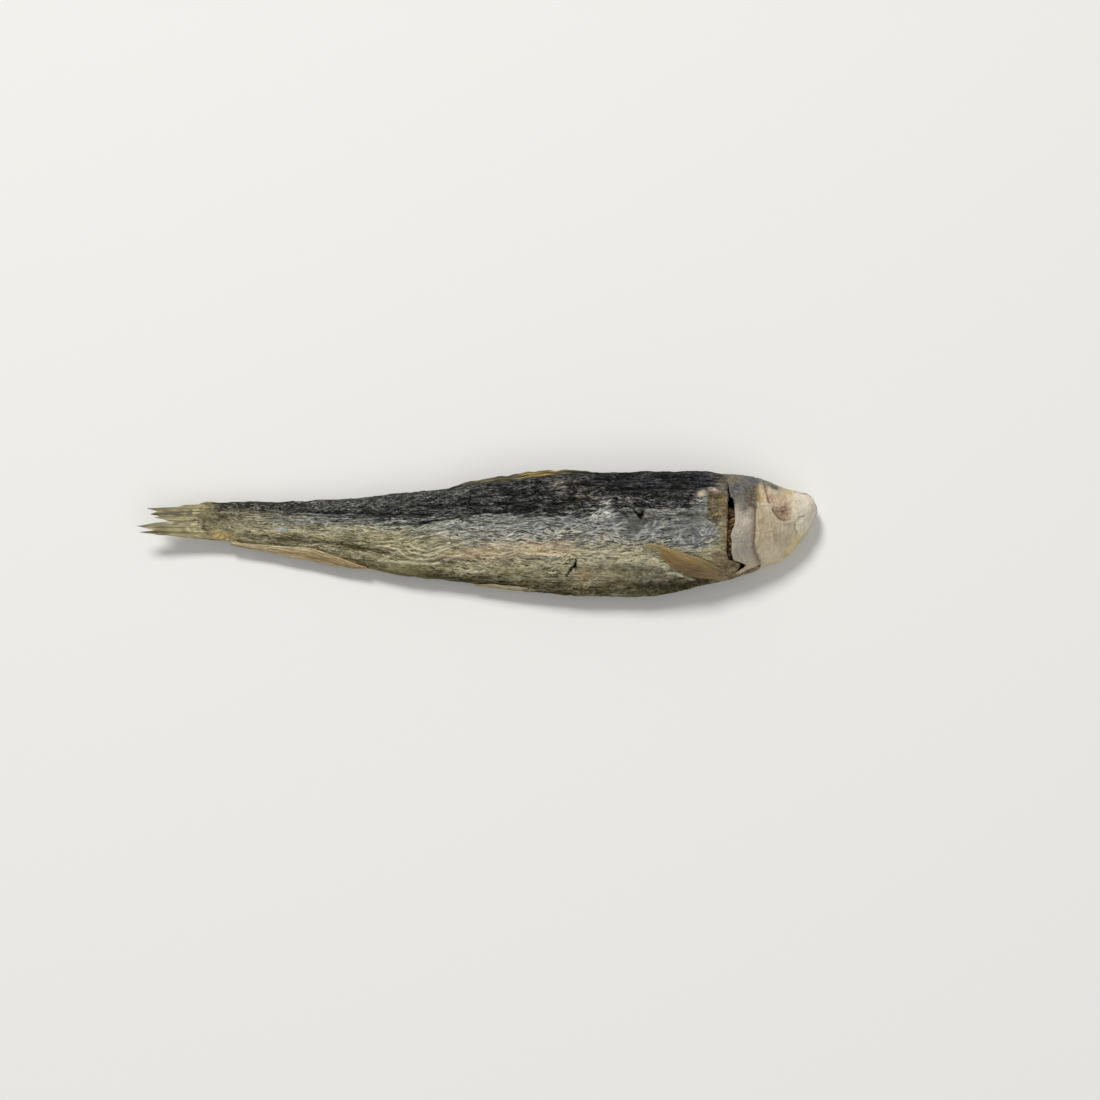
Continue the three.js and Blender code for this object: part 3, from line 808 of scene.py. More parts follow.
    # wrinkles: thin crests and hollows that wind along the body, and the marks of single places
    patchy = 0.8 + 0.5 * noise(lines, (7, 3), 11)
    gravel = np.maximum.reduce([rim, rust, 0.8 * stem, 0.6 * throat, 0.9 * lump, 0.6 * shaded_hollow, crust])
    gravel = gravel + 0.75 * at(88.5, 0.6, 5.5, 3) + 0.8 * at(82, -7.9, 3.6, 2.2)
    gravel = gravel + 0.85 * at(98.6, -1, 3.6, 4) + 0.4 * smooth(0, 0.6, broad)
    gravel = gravel + 0.6 * at(87.5, -7.9, 5.6, 1.5) + 0.4 * at(50, -4.2, 6.5, 2.2)
    calm = np.clip(gravel + 0.7 * cloth, 0, CALMEST)
    strength = (0.6 + 0.4 * smooth(16, 40, x)) * patchy * (1 - calm)
    first = crests(lines, (5.5, 1), 5) ** 2
    second = crests(slant(lines, 0.15), (2, 0.75), 6) ** 2
    third = crests(slant(lines, -0.25), (1.1, 0.55), 7) ** 2
    ridges = np.maximum.reduce([first, 0.9 * second, 0.6 * third])
    hollows = crests(slant(lines, 0.06), (3.2, 0.85), 23) ** 2
    hollows = np.maximum(hollows, 0.8 * crests(slant(lines, -0.15), (1.4, 0.6), 24) ** 2)
    grooves = along_all(x, y + 0.6 * wobble, BACK_GROOVES, 0.2) * right * smooth(-1.7, -0.8, streak)
    drawn = crests(lines, (17, 2.2), 8) ** 6 * smooth(30, 60, x) * smooth(0.1, 0.5, dark)
    grooves = np.maximum(grooves, drawn)
    rimmed = scales(x, y, lines) * throat
    relief = strength * (0.11 * ridges - 0.1 * hollows) - 0.3 * grooves
    relief += 0.28 * noise(flat, (8, 4), 8) + 0.15 * noise(flat, (2.6, 1.6), 9)
    relief += cloth * (0.5 * crests(lines, (11, 2), 47) - 0.2)
    relief += 0.05 * noise(flat, (0.8, 0.5), 10) - 0.12 * rimmed
    relief += 0.35 * lump - 0.2 * shaded_hollow + 0.12 * arcs + 0.14 * folds + 0.3 * flaps + 0.06 * creases
    relief += 0.12 * rim * (1 - inside)

    holes = smooth(-0.2, -0.02, within(x + 0.3 * wobble, y, V_PIT))
    holes += smooth(-0.14, 0.02, within(x, y, NICK))
    holes += at(93.7, 0.9, 0.24, 0.24) + 0.6 * at(82, -2.4, 0.2, 0.4)
    holes = np.minimum(1, holes) * right
    relief -= 0.6 * holes
    relief *= 1 - 0.8 * inside
    relief *= smooth(TAIL_END, TAIL_END + 2.5, x)

    ovals = 0 * x
    for middle_x, middle_y in OVALS:
        away = np.hypot((x - middle_x) / 0.62, (y - middle_y) / 0.8)
        oval = 0.5 * smooth(1.2, 0.8, away) + 0.5 * np.exp(-(((away - 1) / 0.25) ** 2))
        ovals = np.maximum(ovals, oval)
    ovals *= right
    # Painted shade on the skin that turns in at the gill opening, less where the flesh shows.
    gill_shade = smooth(0.15, 0.6, inside) * (1 - 0.75 * flesh)

    # what the material reads
    gritty = (dark - 0.5 * cloth) * (1 - 0.85 * upper)
    gritty *= 0.3 + 0.5 * smooth(62, 45, x) + 0.3 * smooth(46, 34, x)
    sandy = np.maximum.reduce([0.5 * rust, stem * (1 - 0.8 * upper), 0.4 * throat])
    gritty = gritty + 0.8 * sandy * (1 - dark) + 0.4 * at(32.5, 2.6, 6, 1.5)
    warm = smooth(-0.8, -5.6, y + 1.6 * streak) + smooth(60, 36, x) * smooth(1.5, -1, y)
    warm = warm + smooth(30, 20, x) * (1 - 0.3 * upper) + rust + rim
    # Where the painted highlights may show: little on the dark back, on calm skin, on the shaded keel
    # or inside the gill.
    highlight_share = (1 - dark * (0.72 + 0.1 * smooth(58, 66, x))) * (1 - calm) * (1 - 0.8 * keel_shade)
    marks = {
        "crest": ridges * strength + arcs,
        "groove": hollows * strength,
        "gritty": np.clip(gritty, 0, 1),
        "calm": calm,
        "flow": lines,
        "black": dark * (1 - 0.6 * cloth),
        "warm": np.clip(warm, 0, 1),
        "highlight_share": highlight_share * (1 - inside) * (1 - 0.7 * upper),
        "shade_and_dark_marks": np.clip(holes + gill_shade + 0.85 * grooves + 0.35 * rimmed + 0.5 * ovals, 0, 1),
    }
    return skinned("trunk", grid, relief, coat, marks, skin_material())


# ---------- the head ----------
HEAD_ROWS = 230
HEAD_SIDES = 400
# Outlines and lines on the head; the eye socket starts at its top rear corner.
SOCKET = [(110.9, 6.3), (111.5, 5.9), (112.9, 5.9), (114.6, 5.6), (115.3, 4.3), (115.5, 2.4),
          (115.1, 1.6), (113.9, 1.15), (112.9, 1.5), (112.2, 2.2), (111.6, 3.1), (111.1, 3.9)]
EYE_SHADE = [(111.8, 3), (112.3, 2.2), (112.95, 1.5), (113.75, 1.2), (114.8, 1.4), (115.4, 1.95)]
SOCKET_LIP = [(110.9, 3.3), (111.8, 2.4), (112.9, 1), (114.2, 0.7), (115.7, 1.15), (116.3, 1.7)]
BACK_LIP = [(109.2, 3.8), (110.4, 3.7), (111.6, 3.55), (112.7, 3.6)]
PREOPERCLE = [(108.85, 4.4), (108.8, 3.2), (108.75, -3.2), (109.1, -4.7), (110, -6.3), (110.5, -7)]
PLATE_EDGE = [(-6.2, 110), (-4.7, 109.1), (-3.2, 108.75), (3.2, 108.8), (5.6, 108.9)]  # x at each y
PLATE_SHADOW = [(108.5, -1.8), (108.45, -3.6), (108.9, -5.1), (109.7, -6.4)]
BROW_NOTCH = [(110.65, 7.3), (110.85, 6.3), (111.1, 5.4), (111.35, 4.3)]
NOSTRIL = [(116.4, 1.8), (117.65, 2.1)]
MAXILLA = [(115.9, 1.2), (115.88, 0.65), (115.88, -0.25), (116.3, -1.15), (116.9, -1.75), (117.9, -0.8),
           (118.8, 0.9), (118, 1.6)]
JAW_BAND = [(116.6, -1.6), (115.9, -2.9), (115, -4.6)]
MOUTH = [(-2.8, 1.2), (-1.2, 1.1), (0.2, 0.9), (1.2, 0.65), (1.8, 0.3), (2, 0)]  # y and z
CHEEK_RIDGE = [(110.9, 3), (111.4, 1.36), (111.4, -0.1), (111.8, -1.9), (112, -3.1)]


def head_grid():
    angle = np.linspace(-math.pi, math.pi, HEAD_SIDES, endpoint=False)
    height_here = heights_at_gill(angle)
    edge = read_off(COVER_EDGE, height_here)
    opening = gape(height_here)
    flare = 0.14 + 0.26 * opening
    rows = [skin(edge + ahead, angle, flare - down) for ahead, down in TURN_UNDER]
    under = [np.full(HEAD_SIDES, min(1, ahead + down)) for ahead, down in TURN_UNDER]
    for share in np.linspace(0.02, 0.995, HEAD_ROWS):
        x = edge + 0.1 + (LENGTH - edge - 0.1) * math.sin(share * math.pi / 2)
        rows.append(skin(x, angle, flare * smooth(115, 105, x)))
        under.append(np.zeros(HEAD_SIDES))
    return np.array(rows), np.array(under)


def head():
    grid, under = head_grid()
    flat = grid.reshape(-1, 3)
    x, y, z = flat.T
    tucked = under.ravel()
    back, belly = back_line(x), belly_line(x)
    wander = 0.5 * noise(flat, (3, 2), 12)
    blotch = noise(flat, (1.5, 1.2), 31)
    jitter = 0.08 * noise(flat, (0.8, 0.6), 19)
    bent = x + jitter

    def at(*place):
        return spot(x, y, *place)

    # the plates, the socket and the lines between them
    ahead = x - read_off(PLATE_EDGE, y) + jitter
    line = along(bent, y, PREOPERCLE, 0.2) * smooth(-7, -6.2, y) * smooth(4.2, 2.8, y)
    line *= 0.5 + 0.5 * smooth(-3.2, -1.4, y)
    plate_shadow = along(bent, y, PLATE_SHADOW, 0.45) * smooth(0.1, -0.1, ahead)
    cover = smooth(0.1, -0.1, ahead)
    cheek = smooth(0, 0.45, ahead) * smooth(6, 3.5, y) * smooth(-7.2, -6.2, y)
    socket_depth = within(bent, y + jitter, SOCKET)
    socket = smooth(-0.3, 0.8, socket_depth)
    lip = along(bent, y, SOCKET_LIP, 0.26)
    back_lip = along(bent, y + 0.4 * wander, BACK_LIP, 0.3) * smooth(-0.9, 0.1, blotch)
    lobe = smooth(-0.05, 0.3, within(bent, y, MAXILLA)) * smooth(118.4, 117, x)
    maxilla_line = along(bent, y, MAXILLA[1:5], 0.2) * smooth(-1.7, -0.4, y)
    notch = along(bent, y, BROW_NOTCH, 0.26)
    shade = along(bent, y + jitter, EYE_SHADE, 0.26) * (0.4 + 0.6 * smooth(115, 113.6, x))
    nostril = along(bent, y, NOSTRIL, 0.1)
    ridge = along(bent, y, CHEEK_RIDGE, 0.17)
    mouth = along(y + jitter, np.abs(z), MOUTH, 0.13) * smooth(115.6, 116.6, x) * smooth(2.6, 2.2, y)
    jaw = smooth(0.05, -0.15, np.abs(z) - read_off(MOUTH, y)) * smooth(115.6, 116.6, x) * (y < 2.2)
    dusk = smooth(2, 4.6, y + 1.5 * wander + 0.9 * blotch) * smooth(110, 108.8, x + wander)
    crown = smooth(1.5, 0.5, back - y + 0.5 * wander) * smooth(114.6, 112.4, x + 3 * wander)
    brow = at(112.5, 6.8, 0.95, 0.45, -20)

    coat = Coat(len(x), (207, 190, 160))
    lay = coat.lay
    lay(0.4 * smooth(-0.1, 0.5, blotch), (188, 170, 138))
    lay(0.5 * smooth(0, 0.6, noise(flat, (3.2, 2.4), 34)), (182, 162, 130))
    lay(0.65 * at(110.6, 1, 1.3, 2.2), (184, 165, 134))
    # Painted shade beside the cheek ridge.
    lay(0.65 * at(112.5, -2.3, 0.5, 1, 15), (162, 140, 108))
    lay(0.7 * at(112, -4.4, 2, 1.6), (226, 211, 182))
    lay(cover, (180, 169, 152))
    lay(0.75 * cover * at(106.9, 0.6, 1, 2.2), (200, 186, 172))
    lay(0.75 * cover * at(106.8, -3.1, 1.3, 1.4), (164, 162, 146))
    lay(0.7 * smooth(-4.8, -6.4, y + 0.4 * blotch) * cover, (192, 175, 149))
    # Painted shade on the gill cover just behind the cheek plate's edge.
    lay(0.8 * smooth(-1.1, -0.1, ahead) * cover * smooth(4.5, 3, y), (142, 122, 98))
    lay(0.5 * plate_shadow, (118, 100, 80))
    # Painted highlight on the cheek plate's rim.
    lay(0.6 * smooth(0.35, 0.1, ahead) * (1 - cover) * smooth(3, 1, y), (222, 208, 180))
    lay(0.95 * dusk, (74, 71, 65))
    lay(0.6 * dusk * smooth(106.4, 108.2, x + wander), (94, 82, 60))
    lay(0.7 * at(106.4, 6.5, 1.8, 0.8) * smooth(-0.5, 0.2, blotch), (80, 85, 94))
    lay(0.9 * at(105, 6.7, 0.8, 0.55), (54, 56, 66))
    lay(0.6 * at(106.1, 4.5, 0.9, 0.9) * smooth(-0.6, 0.3, blotch), (134, 131, 120))
    lay(0.7 * at(108.1, 4.7, 0.9, 1.7) * smooth(-0.5, 0.3, blotch), (84, 66, 46))
    lay(0.8 * crown, (86, 86, 86))
    lay(0.9 * at(108.7, 7.9, 1.4, 0.6), (70, 74, 84))
    adrift = 2 * noise(flat, (3.5, 3, 2.2), 39)
    crust = smooth(106.8, 104.8, x + adrift) * smooth(6.8, 7.7, y + 0.4 * adrift)
    lay(0.8 * crust * (0.3 + 0.7 * smooth(-3, 0, z + adrift)), (114, 102, 84))
    lay(0.9 * at(109.8, 5.4, 0.75, 1.2) * smooth(-0.7, 0.1, blotch), (188, 160, 102))
    snout = smooth(114.6, 116.2, x + 0.6 * wander) * smooth(-2.2, 0.2, y)
    lay(snout, (224, 213, 192))
    lay(0.5 * at(115.7, 4.5, 0.8, 0.6), (224, 204, 166))
    lay(0.85 * lobe, (230, 221, 192))
    lay(0.85 * at(114.7, 6.3, 1.2, 0.42, -24), (188, 170, 114))
    lay(0.95 * brow, (58, 52, 52))
    yellow = along(x, y, JAW_BAND, 0.7) * smooth(-0.1, 0.25, y - belly)
    lay(0.75 * yellow, (228, 206, 146))
    # Lighter along the head's lower edge: partly its own pale beige, partly painted light where the
    # lamp leaves it in shade.
    lay(0.7 * smooth(1.5, 0.6, y - belly) * smooth(112, 109, x), (196, 177, 148))
    lay(0.6 * at(114.6, -4.9, 0.6, 0.35), (150, 146, 96))
    lay(0.9 * socket, (184, 158, 130))
    lay(0.75 * socket * at(111.4, 4.9, 0.6, 1) * smooth(-0.6, 0.4, blotch), (136, 100, 70))
    lay(0.7 * socket * smooth(3.6, 2.4, y) * smooth(111.8, 112.8, x), (140, 116, 90))
    lay(0.7 * socket * at(113.6, 5, 0.9, 0.6), (212, 188, 158))
    pits = np.minimum(1, at(113.98, 2.7, 0.26, 0.2) + at(114.2, 3.5, 0.2, 0.15))
    lay(0.85 * pits, (62, 50, 36))
    lay(0.7 * np.maximum(lip, back_lip), (206, 193, 167))
    # Painted highlight along the cheek ridge.
    lay(0.5 * ridge * smooth(3.2, 2.2, y), (216, 202, 174))
    edge_near = smooth(0.45, 0.1, np.minimum(back - y, y - belly)) * smooth(116, 117.4, x)
    edge_near = np.clip(edge_near + 0.5 * smooth(119.7, 119.95, x), 0, 1)
    lay(0.72 * edge_near * smooth(0.8, 1.8, y) * smooth(-1.3, -0.2, blotch), (122, 124, 118))
    lay(0.5 * jaw, (206, 190, 150))
    lay(0.65 * mouth * (0.5 + 0.5 * smooth(-1.5, 1.5, y)), (104, 86, 64))
    spots = at(116.2, 6.4, 0.35, 0.2) + at(117.9, 6, 0.4, 0.2)
    lay(0.7 * line + 0.45 * maxilla_line + 0.7 * spots, (108, 84, 58))
    lay(0.8 * notch * smooth(-1, -0.2, blotch), (92, 64, 40))
    lay(0.85 * shade * smooth(-1, -0.2, blotch), (84, 64, 46))

    relief = 0.2 * cheek + 0.1 * lobe - 0.14 * line - 0.08 * maxilla_line - 0.12 * nostril
    relief += 0.17 * ridge - 0.26 * at(113, -2.3, 0.9, 1.6, 20) + 0.14 * back_lip
    relief += 0.2 * at(106.6, -0.8, 1, 3.6) - 0.2 * at(110.2, -1, 0.6, 3)
    relief += 0.14 * lip - 0.35 * notch - 0.16 * mouth - 0.08 * jaw
    relief -= 0.22 * pits
    relief -= socket * (0.45 + 0.45 * smooth(4.3, 2.2, y))
    relief += 0.13 * noise(flat, (2.6, 2), 13) + 0.06 * noise(flat, (0.9, 0.8), 14)
    folds = crests(flat, (0.8, 0.7), 15) ** 2
    gritty = np.clip(dusk + crown + 0.4 * socket, 0, 1)
    relief += (0.02 + 0.1 * gritty) * folds + 0.12 * socket * crests(flat, (1.3, 1), 32)
    relief += 0.03 * noise(flat, (0.35, 0.3), 16)
    relief *= 1 - smooth(0.1, 0.5, tucked)

    freckled = 0.9 * dusk + 0.6 * at(109.8, 5.4, 1, 1.4) + 0.25 * socket + 0.06 * (1 - snout)
    marks = {
        "gritty": gritty * (1 - 0.8 * socket),
        "freckled": np.clip(freckled, 0, 1),
        # Painted shade where the cover turns under, and in the nostril.
        "shade_and_dark_marks": np.clip(0.55 * nostril + smooth(0.3, 0.9, tucked), 0, 1),
    }
    return skinned("head", grid, relief, coat, marks, head_material())


# ---------- eyes ----------
EYE = (113.7, 3.5, 2.35)  # the middle of the right eyeball
EYE_RADII = np.array([1.87, 1.955, 1.7])
EYE_ROWS = 60
EYE_SIDES = 96
POLE_GAP = 0.02  # angle that is left open at both poles


def eye(side, name, material):
    """A shrunken eyeball whose skin has crumpled."""
    polar = np.linspace(POLE_GAP, math.pi - POLE_GAP, EYE_ROWS)[:, None]
    turn = np.linspace(0, 2 * math.pi, EYE_SIDES, endpoint=False)
    ball = np.stack([np.sin(polar) * np.cos(turn), np.sin(polar) * np.sin(turn),
                     np.cos(polar) + 0 * turn], -1)
    flat = ball.reshape(-1, 3)
    across, up, front = flat.T
    crumple = 0.08 * crests(flat, (0.7, 0.7), 21) + 0.12 * noise(flat, (0.6, 0.6), 22)
    pits = spot(across, up, 0.27, 0, 0.12, 0.1) + spot(across, up, 0.15, -0.41, 0.13, 0.12)
    pits = np.minimum(1, pits) * (front > 0)
    points = flat * (1 + crumple - 0.14 * pits)[:, None] * EYE_RADII + EYE
    points[:, 2] *= side
    coat = Coat(len(flat), (190, 160, 132))
    coat.lay(0.9 * spot(across, up, 0.3, 0.5, 0.45, 0.5), (216, 186, 150))
    coat.lay(0.7 * smooth(0, -0.5, up), (152, 126, 102))
    coat.lay(0.5 * smooth(0.2, 0.5, noise(flat, (0.5, 0.4), 25)), (140, 112, 88))
    coat.lay(0.9 * pits, (62, 50, 40))
    order = slice(None, None, -side)  # the rows run so that the faces look outwards
    marks = {"coat": coat.colour.reshape(ball.shape)[order]}
    return tube(name, points.reshape(ball.shape)[order], marks, material)


# ---------- gills ----------
GILL_STRANDS = 190  # on each side
FLESH = np.array((124, 96, 58))


def strand(points, width, sides=6):
    """A tapering tube of rows along a few points, as a grid closed round."""
    ahead = unit(np.gradient(points, axis=0))
    across = unit(np.cross(ahead, np.array([0.3, 1, 0.2])))
    up = np.cross(ahead, across)
    turn = np.linspace(0, 2 * math.pi, sides, endpoint=False)[:, None]
    ring = across[:, None] * np.cos(turn) + up[:, None] * np.sin(turn)
    return points[:, None] + ring * width[:, None, None]


def join_tubes(name, grids, colours, material):
    """One piece from many small tubes, each of one colour and with a face at both ends."""
    faces, uvs, coats = [], [], []
    first = 0
    for grid, colour in zip(grids, colours):
        rows, sides = grid.shape[:2]
        quads, places = tube_faces(rows, sides)
        last = first + (rows - 1) * sides
        faces += (quads + first).tolist()
        faces += [list(range(first, first + sides))[::-1], list(range(last, last + sides))]
        uvs += [places, np.zeros((2 * sides, 2))]
        coats.append(Coat(rows * sides, colour).colour)
        first += rows * sides
    points = np.concatenate([grid.reshape(-1, 3) for grid in grids])
    marks = {"coat": np.concatenate(coats)}
    return build_mesh(name, points, faces, np.concatenate(uvs), marks, material)


def gills():
    """Dried gill filaments that show in both openings."""
    grids, colours = [], []
    throw = np.random.default_rng(5)
    t = np.linspace(0, 1, 6)
    for side in (1,) * GILL_STRANDS + (-1,) * GILL_STRANDS:
        y0 = throw.uniform(-5.2, 2.5)
        xs = read_off(COVER_EDGE, y0) + throw.uniform(0.2, 0.8) - throw.uniform(0.7, 1.8) * t
        ys = y0 - throw.uniform(-0.9, 1.5) * t**2 + throw.uniform(-0.2, 0.2) * np.sin(5 * t)
        route = on_flank(xs, ys, side)
        route[:, 2] -= side * (throw.uniform(0.3, 1.1) + 0.3 * t**2)
        grids.append(strand(route, throw.uniform(0.05, 0.16) * (1 - 0.6 * t)))
        colours.append(FLESH * throw.uniform(0.4, 1.45))
    flesh = grainy_material("gill_flesh", (0.5, 0.3, 0.5), 0.4, 0.62, 0.6, 1.5, 0.55, 0.1, 0.4)
    return join_tubes("gills", grids, colours, flesh)


# ---------- fins ----------
THINNEST = 0.03  # half the least thickness of a fin
RIM_POINTS = 3  # points over which a fin thins out at its rim


def between(first, second, share):
    return first + (second - first) * share


def fin_noise(x, y, size, seed):
    return noise(np.stack([x.ravel(), y.ravel(), 0 * x.ravel()], -1), size, seed).reshape(x.shape)


def flecks(x, y, size, seed):
    """Patches over a fin, from 0 to 1."""
    return smooth(-0.1, 0.5, fin_noise(x, y, size, seed))


def folded(top, foot, side, lift):
    """The sheet of a fin that lies on the right (side 1) or left (side -1) flank, also past its
    outline, between the lines of its top and its foot. lift(p, q) is how high it lies."""
    rear, front = top[0][0], top[-1][0]

    def sheet(p, q):
        x = front - (front - rear) * q
        y = between(read_off(top, x), read_off(foot, x), p)
        points = on_flank(x.ravel(), y.ravel(), side).reshape(x.shape + (3,))
        points[..., 1] = y
        points[..., 2] += side * lift(p, q)
        return points

    return sheet


def fin(name, sheet, rays, thick, rows, columns, size, base, paint, bold=0.8, ribs=0.55,
        gritty_from=None, left=1):
    """A closed thin sheet of rows along q, its rays, and columns along p, across them.
    sheet(p, q) gives its middle, rays(p, q) counts the rays passed, size is its length and
    width, base its first colour and paint(lay, p, q, x, y) lays others on. ribs is the rays'
    share of its thickness, gritty_from the x where it turns grainy and left how light its first
    face is."""
    q, p = np.meshgrid(np.linspace(0, 1, rows), np.linspace(0, 1, columns), indexing="ij")
    middle = sheet(p, q)
    ray = (np.cos(rays(p, q) * 2 * math.pi) * 0.5 + 0.5) ** 1.5
    rim = np.minimum(1, np.minimum(np.minimum(p, 1 - p) * columns, (1 - q) * rows) / RIM_POINTS)
    half = thick * (1 - ribs + ribs * ray) * (1 - 0.6 * q) / 2 * (0.35 + 0.65 * rim)
    half = np.maximum(half, THINNEST)
    normal = unit(np.cross(np.gradient(middle, axis=0), np.gradient(middle, axis=1)))
    raised = normal * half[..., None]
    grid = np.concatenate([middle + raised, (middle - raised)[:, ::-1]], 1)
    coat = Coat(p.size, base)
    paint(coat.lay, p.ravel(), q.ravel(), middle[..., 0].ravel(), middle[..., 1].ravel())
    coat.lay(0.35 * bold * ray.ravel(), (206, 194, 156))
    flow = np.stack([q * size[0], p * size[1], 0 * p], -1)
    marks = {"coat": coat.colour.reshape(rows, columns, 3), "flow": flow}
    if gritty_from is not None:
        marks["gritty"] = smooth(gritty_from, gritty_from + 4, middle[..., 0])
    full = {mark: np.concatenate([values, values[:, ::-1]], 1) for mark, values in marks.items()}
    full["coat"][:, :columns] *= left
    full = {mark: values.reshape(-1, *values.shape[2:]) for mark, values in full.items()}

    faces, uvs = tube_faces(rows, 2 * columns)
    last = (rows - 1) * 2 * columns
    caps = []
    for i in range(columns - 1):
        j = 2 * columns - 1 - i
        caps.append([i + 1, j - 1, j, i])
        caps.append([last + i, last + j, last + j - 1, last + i + 1])
    uvs = np.concatenate([uvs, np.zeros((4 * len(caps), 2))])
    faces = faces.tolist() + caps
    return build_mesh(name, grid.reshape(-1, 3), faces, uvs, full, fin_material(name, bold))


# The tips of the tail's rays and the ends of its root, from the upper edge down: the share of
# the way down, x, y and z.
TAIL_TIPS = [
    (0, 8.3, 3.85, 0), (0.03, 7.4, 3.45, 0), (0.08, 1.8, 3, 0.25), (0.15, 3.7, 2.45, 0.1),
    (0.21, 2.4, 1.95, -0.3), (0.27, 4.1, 1.75, -0.2), (0.33, 3.1, 1.42, -0.2), (0.4, 4.8, 1.05, 0),
    (0.46, 5.8, 0.75, 0.15), (0.5, 3.2, 0.5, 0.2), (0.6, 0.05, -0.15, 0.1), (0.68, 1.9, -0.6, 0.05),
    (0.74, 3.2, -0.85, 0), (0.79, 0.4, -1.2, -0.25), (0.86, 3, -1.45, -0.2), (1, 8.2, -1.8, -0.1),
]
TAIL_ROOT = [(0, 17.5, 4, 0), (1, 17.5, -2.7, 0)]


def walk(route, p):
    """Places along a route of stops, each a value of p with its x, y and z."""
    stops, *places = np.array(route, float).T
    return np.stack([np.interp(p, stops, place) for place in places], -1)


def tail_fin():
    def sheet(p, q):
        points = between(walk(TAIL_ROOT, p), walk(TAIL_TIPS, p), q[..., None])
        points[..., 1] += 0.05 * np.sin(q * 11 + p * 23) * q
        points[..., 2] += 0.2 * np.sin(p * 9 + 0.5) * q + 0.1 * np.sin(p * 37) * q
        return points

    def paint(lay, p, q, x, y):
        lay(0.8 * flecks(x, y, (4, 0.5), 51), (180, 170, 130))
        lay(0.6 * flecks(x, y, (3, 0.6), 52), (112, 102, 70))
        lay(0.9 * spot(x, y, 10.8, 1.5, 3, 1.8) * flecks(x, y, (0.9, 0.7), 53), (62, 54, 32))
        lay(0.9 * along(x, y, [(2.4, 1.98), (5.4, 2.25), (7.6, 2.35)], 0.2), (62, 52, 40))
        lay(0.6 * along(x, y, [(0, -0.2), (3, 0.3), (7, 0.5)], 0.3), (84, 78, 60))
        lay(0.5 * along(x, y, [(1.8, 3), (7.3, 3.4), (9, 3.8)], 0.25), (104, 100, 82))
        lay(0.8 * along(x, y, [(0.6, -1.2), (3.6, -1.2)], 0.15), (74, 66, 50))
        lay(0.8 * spot(x, y, 5.9, 0.55, 0.5, 0.25), (214, 208, 184))

    return fin("tail_fin", sheet, lambda p, q: 15 * p, thick=0.6, rows=80, columns=240, size=(14, 6),
               base=(164, 154, 114), paint=paint, bold=0.3, ribs=0.35, gritty_from=6)


ANAL_CREASE = [(16.5, -2.6), (23.4, -3.2), (30.7, -3.7), (34.6, -5), (36.9, -5.9), (40.5, -7.2)]
ANAL_EDGE = [(16.5, -3.1), (19, -3.65), (23.1, -4.4), (27.5, -5.4), (30.5, -5.9), (35, -7),
             (38.2, -7.45), (40.5, -7.5)]


def anal_fin():
    def paint(lay, p, q, x, y):
        lay(0.85 * smooth(31, 24, x) * smooth(0.9, 0.4, p), (206, 190, 152))
        lay(0.7 * flecks(x, y, (6, 0.4), 54), (150, 126, 80))
        lay(0.8 * smooth(0.16, 0, p) * smooth(37, 31, x), (206, 194, 158))
        lay(0.6 * smooth(0.6, 1, p), (156, 122, 68))
        lay(0.8 * spot(x, y, 40.2, -6.8, 1.2, 0.8), (146, 106, 54))

    sheet = folded(ANAL_CREASE, ANAL_EDGE, 1,
                   lambda p, q: 0.12 + 0.22 * np.sin(math.pi * np.minimum(1, p * 1.3)))
    return fin("anal_fin", sheet, lambda p, q: 5 * p + 2.2 * q, thick=0.5, rows=110, columns=50,
               size=(24, 2), base=(192, 167, 120), paint=paint)


DORSAL_REAR = 55
DORSAL_FRONT = 82
DORSAL_EDGE = [(54.7, 6.35), (56.2, 7), (58, 7.65), (63.9, 8.6), (68.5, 9.25), (71.5, 9.6),
               (77, 9.65), (82, 9.1)]


def dorsal_fin():
    def sheet(p, q):
        x = DORSAL_FRONT - (DORSAL_FRONT - DORSAL_REAR) * q
        edge = read_off(DORSAL_EDGE, x) + 0.2 * fin_noise(x, 0 * x, (1.7, 1), 60)
        lean = fin_noise(x, 0 * x, (4.5, 1), 63)
        y = between(back_line(x) - 0.5, edge, p)
        return np.stack([x, y, 0.2 + (0.6 * p + 0.35 * lean) * p], -1)

    def paint(lay, p, q, x, y):
        lay(0.9 * smooth(66, 69, x) * smooth(75.5, 73.5, x), (190, 160, 80))
        lay(0.7 * flecks(x, y, (5, 0.4), 55), (92, 86, 62))
        lay(0.9 * smooth(75, 77, x), (66, 63, 56))
        lay(0.8 * smooth(0.16, 0, np.abs(p - 0.55)) * smooth(67, 64, x), (52, 47, 36))
        lay(0.6 * smooth(0.12, 0, np.abs(p - 0.8)) * smooth(64, 61, x), (196, 188, 158))
        lay(0.85 * smooth(0.5, 0.3, p) * smooth(60, 64, x), (58, 56, 48))
        lay(0.8 * flecks(x, y, (1.6, 0.5), 64) * smooth(70, 76, x), (40, 38, 34))

    return fin("dorsal_fin", sheet, lambda p, q: 3 * p + 1.5 * q, thick=0.26, rows=120, columns=30,
               size=(27, 1.5), base=(136, 130, 102), paint=paint, bold=0.6, left=0.28)


PELVIC_TOP = [(59.6, -10.45), (62.5, -10.3), (66, -10.7), (71.5, -11.3)]
PELVIC_FOOT = [(59.6, -10.6), (62.5, -11), (66, -11.5), (69.5, -11.6), (71.5, -11.5)]


def pelvic_fin(side, name):
    def paint(lay, p, q, x, y):
        lay(0.6 * smooth(0.3, 0, q), (120, 110, 78))

    sheet = folded(PELVIC_TOP, PELVIC_FOOT, side,
                   lambda p, q: 0.15 * smooth(0.1, 0.4, q) - 0.3 * smooth(0.14, 0, q))
    return fin(name, sheet, lambda p, q: 3 * p + 0.3 * q, thick=0.36, rows=60, columns=30,
               size=(12, 1.2), base=(178, 166, 128), paint=paint)


